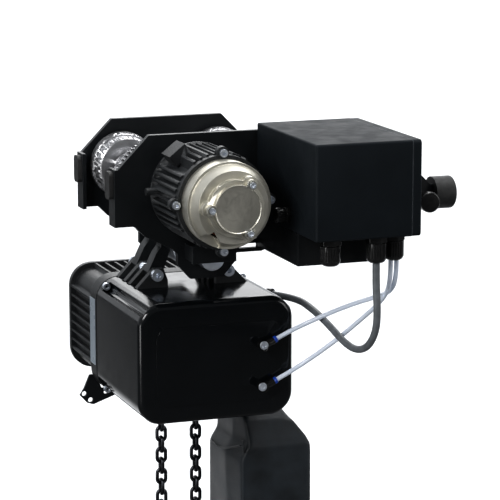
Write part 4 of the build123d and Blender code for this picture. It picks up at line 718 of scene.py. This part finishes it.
# %% Smooth the shading of the round parts
SMOOTH_PARTS = (
    "hook", "safety_latch", "travel_brake_housing",
    "suspension_shaft", "buffers", "arm_end_socket", "shoulder_gland", "tube_fittings",
    "tube_collars", "rear_cover", "hoist_housing", "travel_motor_housing", "travel_end_shield",
    "control_box", "wheel_axles", "drive_wheel_left", "drive_wheel_right", "idler_wheel_left",
    "idler_wheel_right", "sheave", "sheave_axle", "hoist_fasteners", "travel_motor_screws",
    "load_chain", "slack_chain", "gearbox_cover",
)
for node in SMOOTH_PARTS:
    piece = merged_copy(node, node + "_smooth")
    only(piece)
    bpy.ops.object.shade_smooth_by_angle(angle=ROUND_ANGLE)
    mounted(piece, BODY_OF[node], FINISH_OF[node], SLOT_OF[node], node)
print("smoothed", len(SMOOTH_PARTS), "parts")

# %% [markdown]
# ## Small front pieces
# Three small things catch the light on the front: the brake cap's raised rim, the
# heads of the two tube fittings, and the seam band between the covers, whose sheen is a
# painted reflection on a pale strip. The rim is made by insetting the cap's face twice
# and sinking the middle; a solid ring on top would leave a doubled face below it.

# %% Raise the brake cap's rim
RIM_WIDTH, RIM_SLOPE, RIM_HEIGHT, RIM_ROUND = 0.0016, 0.0005, 0.0009, 0.0003
cap = merged_copy("travel_brake_cap", "travel_brake_cap_rimmed")
face_y = min(v.co.y for v in cap.data.vertices)
picked = pick_faces(cap, lambda centre, normal: normal.y < -0.9 and centre.y < face_y + 0.0003)
bpy.ops.mesh.inset(thickness=RIM_WIDTH)
bpy.ops.mesh.inset(thickness=RIM_SLOPE)
bpy.ops.transform.translate(value=(0, RIM_HEIGHT, 0))
close_edit()
bevelled(cap, RIM_ROUND)
mounted(cap, "trolley", turned_cap, SLOT_OF["travel_brake_cap"], "travel_brake_cap")
print("brake cap:", picked, "front face inset")

# %% Heads of the tube fittings
HEAD_R, HEAD_T, HEAD_ROUND = 0.0056, 0.0024, 0.0004
SOCKET_R, SOCKET_DEPTH = 0.0026, 0.0012
FITTING_HEADS = (("upper", 0.0576, -0.174), ("lower", 0.0556, -0.2294))   # name, x, z
for name, x, z in FITTING_HEADS:
    bpy.ops.mesh.primitive_cylinder_add(vertices=32, radius=HEAD_R, depth=HEAD_T,
                                        rotation=(pi / 2, 0, 0),
                                        location=(x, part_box("tube_fittings")[0][1] - HEAD_T / 2, z))
    head = bpy.context.object
    head.name = name + "_fitting_head"
    settle(head)
    pick_faces(head, lambda centre, normal: normal.y < -0.9)
    bpy.ops.mesh.inset(thickness=HEAD_R - SOCKET_R)
    bpy.ops.mesh.extrude_region_move(TRANSFORM_OT_translate={"value": (0, SOCKET_DEPTH, 0)})
    close_edit()
    bevelled(head, HEAD_ROUND)
    mounted(head, "hoist", zinc, "zinc")
print("fitting heads added:", len(FITTING_HEADS))

# %% Painted reflection on the seam band between the covers
BAND_T, BAND_W, BAND_H, BAND_Z, BAND_ROUND = 0.0008, 0.024, 0.092, -0.190, 0.0003
band_low, band_high = (Vector(corner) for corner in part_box("hoist_housing"))
# the pale strips paint the seam's reflection, only over the height where it is lit
for name, x in (("left", band_low.x - BAND_T / 2), ("right", band_high.x + BAND_T / 2)):
    bpy.ops.mesh.primitive_cube_add(size=1, location=(x, band_high.y - BAND_W / 2, BAND_Z),
                                    scale=(BAND_T, BAND_W, BAND_H))
    band = bpy.context.object
    band.name = "seam_band_" + name
    settle(band)
    bevelled(band, BAND_ROUND)
    mounted(band, "hoist", seam_painted_reflection, "black_enamel")
print("seam bands added: 2")

# %% [markdown]
# ## Chain bag
# The bag is sewn from coated cloth round a rigid rim: a deep square body, shoulders
# that slope up on the drive side and the right, a neck that draws in on the left under
# the chain mouth, and piped seams along the front corners. A lofted box would look like
# tin. So a cube is sized to the body, its shoulders are drawn in by extruding the top
# three times, loops are added by subdividing, and a Subdivision Surface rounds it off
# between creased corners. Then the walls slacken, and the cloth gets its thickness.

# %% Sew the bag's body
low, high = (Vector(corner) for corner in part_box("chain_bag"))
BAG_MIDDLE = (low + high) / 2
BODY_TOP_Z = high.z - 0.056                   # where the shoulders begin
NECK = ((0.0605, 0.1275), (-0.011, 0.0695))   # the mouth's X and Y spans
SHOULDERS = (                                 # X span, Y span and height of each ring above the body
    ((low.x + 0.001, high.x - 0.006), (low.y + 0.003, high.y - 0.0015), BODY_TOP_Z + 0.012),
    ((low.x + 0.001, high.x - 0.024), (low.y + 0.013, high.y - 0.002), BODY_TOP_Z + 0.036),
    (NECK[0], NECK[1], high.z - 0.001),
)
BASE_INSET, BASE_SAG = 0.008, 0.0005

bpy.ops.mesh.primitive_cube_add(
    size=1,
    location=(BAG_MIDDLE.x, BAG_MIDDLE.y, (low.z + BODY_TOP_Z) / 2),
    scale=(high.x - low.x, high.y - low.y, BODY_TOP_Z - low.z),
)
bag = bpy.context.object
bag.name = "sewn_chain_bag"
settle(bag)


def to_box(piece, x_span, y_span, z):
    """Fits the selected top face to a rectangle at height z, and stays in edit mode."""
    bpy.ops.object.mode_set(mode="OBJECT")
    chosen = [v for v in piece.data.vertices if v.select]
    x_mid = sum(v.co.x for v in chosen) / len(chosen)
    y_mid = sum(v.co.y for v in chosen) / len(chosen)
    for v in chosen:
        v.co.x = x_span[v.co.x > x_mid]
        v.co.y = y_span[v.co.y > y_mid]
        v.co.z = z
    bpy.ops.object.mode_set(mode="EDIT")


pick_faces(bag, lambda centre, normal: normal.z > 0.9)
for x_span, y_span, z in SHOULDERS:
    bpy.ops.mesh.extrude_region_move(TRANSFORM_OT_translate={"value": (0, 0, 0.01)})
    to_box(bag, x_span, y_span, z)
bpy.ops.mesh.delete(type="ONLY_FACE")         # the mouth stays open
close_edit()
pick_faces(bag, lambda centre, normal: normal.z < -0.9)
bpy.ops.mesh.inset(thickness=BASE_INSET, depth=0)
bpy.ops.transform.translate(value=(0, 0, -BASE_SAG))
close_edit()
print("bag body:", len(bag.data.polygons), "faces")

# %% Crease its corners and round it off
CORNER_REACH, UPRIGHT = 0.026, 0.7            # how near a corner, and how steep, a seam runs
SEAM_CREASE, SOFT_CREASE = 0.75, 0.25

edit(bag)
bpy.ops.object.mode_set(mode="EDIT")
bpy.ops.mesh.select_all(action="SELECT")
bpy.ops.mesh.subdivide(number_cuts=2)
close_edit()
creases = bag.data.attributes.new("crease_edge", "FLOAT", "EDGE")
for edge in bag.data.edges:
    ends = [bag.data.vertices[i].co for i in edge.vertices]
    upright = abs(ends[0].z - ends[1].z) > UPRIGHT * (ends[0] - ends[1]).length
    at_corner = all(min(abs(p.x - low.x), abs(p.x - high.x)) < CORNER_REACH
                    and min(abs(p.y - low.y), abs(p.y - high.y)) < CORNER_REACH for p in ends)
    creases.data[edge.index].value = SEAM_CREASE if upright and at_corner else SOFT_CREASE
only(bag)
rounding = bag.modifiers.new("rounding", "SUBSURF")
rounding.levels = rounding.render_levels = 3
bpy.ops.object.modifier_apply(modifier=rounding.name)

# %% Let its walls slacken, draw in the neck, and give the cloth its thickness
SLACK, FOLD_COUNT, FOLD_SPREAD = 0.0022, 3.0, 0.05
WANDER_X, WANDER_Y = 2.1, 1.7                 # so that the folds differ round the bag
LEFT_SHARPNESS = 1.6
CLOTH_T = 0.0016
WAIST, WAIST_Z, WAIST_SPAN = 0.010, -0.360, 0.024   # the left side draws in below the cover
GUSSET, GUSSET_Y, GUSSET_SPAN = 0.007, 0.008, 0.05  # and its front corner is slanted
for vertex in bag.data.vertices:
    p = vertex.co
    share_x = (p.x - BAG_MIDDLE.x) / (high.x - low.x) * 2
    share_y = (p.y - BAG_MIDDLE.y) / (high.y - low.y) * 2
    height = (p.z - low.z) / (BODY_TOP_Z - low.z)
    if height < 1.0:
        wander = WANDER_X * p.x / FOLD_SPREAD + WANDER_Y * p.y / FOLD_SPREAD
        fold = 0.5 + 0.5 * sin(FOLD_COUNT * pi * height + wander)
        belly = sin(pi * max(0.0, height)) * SLACK * fold
        if abs(share_x) > abs(share_y):
            p.x -= belly * (1 - share_y ** 2) * (1 if share_x > 0 else -1)
        else:
            p.y -= belly * (1 - share_x ** 2) * (1 if share_y > 0 else -1)
    leftness = min(1.0, max(0.0, -share_x * LEFT_SHARPNESS))
    rise = min(1.0, max(0.0, (p.z - WAIST_Z) / WAIST_SPAN))
    p.x += WAIST * leftness * rise ** 2 * (3 - 2 * rise)
    p.x += GUSSET * leftness * min(1.0, max(0.0, (GUSSET_Y - p.y) / GUSSET_SPAN))
cloth = bag.modifiers.new("cloth", "SOLIDIFY")
cloth.thickness = CLOTH_T
cloth.offset = -1
only(bag)
bpy.ops.object.modifier_apply(modifier=cloth.name)
bpy.ops.object.shade_smooth()
mounted(bag, "hoist", bag_cloth, "bag", "chain_bag")
print("bag sewn:", len(bag.data.vertices), "points, box", [round(v, 3) for v in (*low, *high)])

# %% [markdown]
# Piping hides a seam and keeps its edge stiff. A curve swept along each seam would do,
# but the same result comes from a thin ring that is extruded from point to point.

# %% Piping along the bag's corners
PIPE_R = 0.0013


def piping(name, points):
    """A thin welt along a few points, as one extruded ring."""
    start, second = Vector(points[0]), Vector(points[1])
    bpy.ops.mesh.primitive_circle_add(vertices=10, radius=PIPE_R, fill_type="NGON", location=start,
                                      rotation=(second - start).to_track_quat("Z", "Y").to_euler())
    welt = bpy.context.object
    welt.name = name
    settle(welt)
    pick_faces(welt, lambda centre, normal: True)
    for before, after in zip(points, points[1:]):
        step = Vector(after) - Vector(before)
        bpy.ops.mesh.extrude_region_move(TRANSFORM_OT_translate={"value": tuple(step)})
    close_edit()
    face_outwards(welt)
    bpy.ops.object.shade_smooth_by_angle(angle=radians(60))
    mounted(welt, "hoist", bag_cloth, "bag")


PIPE_INSET = 0.0042                           # from the bag's box to the seam
FRONT_SEAMS = (                               # name, x, and how far the top leans along X
    ("front_left", low.x + GUSSET + PIPE_INSET, 0.0),
    ("front_right", high.x - PIPE_INSET, -0.005),
)
SHOULDER_SEAM = (
    (low.x, 0.068, -0.357), (low.x - 0.0005, 0.040, -0.3585), (low.x, 0.014, -0.3545),
    (low.x + 0.003, -0.010, -0.347), (low.x + 0.0075, -0.034, -0.339),
)
y = low.y + PIPE_INSET
for name, x, lean in FRONT_SEAMS:
    piping("bag_piping_" + name, (
        (x, y, low.z + 0.012), (x, y - 0.0008, low.z + 0.06), (x, y, BODY_TOP_Z - 0.03),
        (x, y, BODY_TOP_Z - 0.004), (x + lean, y + 0.0035, BODY_TOP_Z + 0.012)))
piping("bag_piping_left_shoulder", SHOULDER_SEAM)
print("piping sewn on")

# %% [markdown]
# ## Cable glands
# A gland is three turned and moulded shapes in a row: a hexagon that seats on the box,
# a ribbed cap nut that squeezes the seal, and a domed end with a hole for the cable.
# It could be cut from one block, but it is easier to model upright at its own place:
# a short six-sided cylinder, and a round one whose every second side is pushed in and
# whose end is drawn in and sunk.

# %% Model one gland and set it at each place
gland_low = Vector(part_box("box_glands")[0])
GLAND_TOP, GLAND_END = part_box("control_box")[0][2] - 0.0001, gland_low.z
HEX_R, HEX_DEPTH, HEX_ROUND, HEX_GAP = 0.0140, 0.008, 0.0008, 0.0004
CAP_R, RIB_COUNT, RIB_DEPTH, RIB_MARGIN = 0.0128, 24, 0.0007, 0.00025
DOME_HEIGHT, HOLE_DEPTH, CAP_ROUND = 0.006, 0.012, 0.0002
DOME_STEPS = ((0.0008, 0.0022), (0.0016, 0.0020), (0.0026, 0.0014))   # inwards and down, each


def in_groove(normal):
    """Whether a side of the cap, by the way it faces, is one of every second one."""
    turn = Vector((normal.x, normal.y)).angle_signed(Vector((1, 0))) % (2 * pi)
    return int(round(turn / (pi / RIB_COUNT) - 0.5)) % 2 == 0


def open_end(piece, x, y, hole_r):
    """Sinks a hole into the lower end by an inset and a push."""
    end_z = min(v.co.z for v in piece.data.vertices)
    pick_faces(piece, lambda centre, normal: normal.z < -0.9 and abs(centre.z - end_z) < 0.0005)
    outer = max((v.co.xy - Vector((x, y))).length
                for v in piece.data.vertices if abs(v.co.z - end_z) < 0.0005)
    bpy.ops.mesh.inset(thickness=outer - hole_r)
    bpy.ops.mesh.extrude_region_move(TRANSFORM_OT_translate={"value": (0, 0, HOLE_DEPTH)})
    close_edit()


def upright_gland(name, x, y, hole_r):
    """A gland hanging under the box, hexagon up."""
    bpy.ops.mesh.primitive_cylinder_add(vertices=6, radius=HEX_R, depth=HEX_DEPTH,
                                        location=(x, y, GLAND_TOP - HEX_DEPTH / 2))
    hexagon = bpy.context.object
    hexagon.name = name + "_hexagon"
    settle(hexagon)
    bevelled(hexagon, HEX_ROUND)

    cap_top, cap_end = GLAND_TOP - HEX_DEPTH - HEX_GAP, GLAND_END + DOME_HEIGHT
    bpy.ops.mesh.primitive_cylinder_add(vertices=2 * RIB_COUNT, radius=CAP_R, depth=cap_top - cap_end,
                                        location=(x, y, (cap_top + cap_end) / 2))
    cap = bpy.context.object
    cap.name = name + "_cap"
    settle(cap)
    # the ribs are what is left between the pushed-in sides
    pick_faces(cap, lambda centre, normal: abs(normal.z) < 0.1 and in_groove(normal))
    bpy.ops.mesh.inset(thickness=RIB_MARGIN, use_individual=True)
    bpy.ops.transform.shrink_fatten(value=-RIB_DEPTH)
    close_edit()
    # the domed end: rings pushed down and drawn in, one after the other
    pick_faces(cap, lambda centre, normal: normal.z < -0.9)
    for inward, down in DOME_STEPS:
        bpy.ops.mesh.extrude_region_move(TRANSFORM_OT_translate={"value": (0, 0, -down)})
        share = 1 - inward / CAP_R
        bpy.ops.transform.resize(value=(share, share, 1), center_override=(x, y, 0))
    close_edit()
    open_end(cap, x, y, hole_r)
    bevelled(cap, CAP_ROUND, 1, radians(50))
    return [hexagon, cap]


GLAND_PLACES = (  # name, x, y, radius of the hole
    ("free_gland", 0.096, -0.280, 0.0051),
    ("cable_gland", 0.158, -0.280, 0.0050),
    ("tube_gland", 0.186, -0.270, 0.0078),
)
glands = []
for name, x, y, hole_r in GLAND_PLACES:
    glands += upright_gland(name, x, y, hole_r)
print("glands under the box:", len(glands), "pieces")

# %% The side gland by the travel motor
SIDE_Y, SIDE_Z, SIDE_HOLE_R, SIDE_SHARE = -0.205, 0.008, 0.0045, 0.78
side_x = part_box("control_box")[0][0] - 0.0001
side_length = side_x - gland_low.x                  # how far the frame lets it stand out
side = upright_gland("side_gland", SIDE_Y, SIDE_Z, SIDE_HOLE_R)
for part in side:
    # to the origin, shrunk to its size, and laid down along X
    only(part)
    bpy.ops.transform.translate(value=(-SIDE_Y, -SIDE_Z, -GLAND_TOP))
    bpy.ops.transform.resize(value=(SIDE_SHARE, SIDE_SHARE, side_length / (GLAND_TOP - GLAND_END)),
                             center_override=(0, 0, 0))
    bpy.ops.transform.rotate(value=pi / 2, orient_axis="Y", center_override=(0, 0, 0))
    settle(part)
    # then out from the box's left wall
    sign = 1 if sum(v.co.x for v in part.data.vertices) < 0 else -1
    for vertex in part.data.vertices:
        vertex.co = Vector((side_x - abs(vertex.co.x), SIDE_Y + vertex.co.y,
                            SIDE_Z + vertex.co.z * sign))
    face_outwards(part)
glands += side
for part in glands:
    mounted(part, "trolley", gland_plastic, "black_plastic")
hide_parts("box_glands")
print("glands in all:", len(glands) // 2)

# %% [markdown]
# ## Last update
# The last cell brings the scene up to date.

# %% Update the scene
bpy.context.view_layer.update()
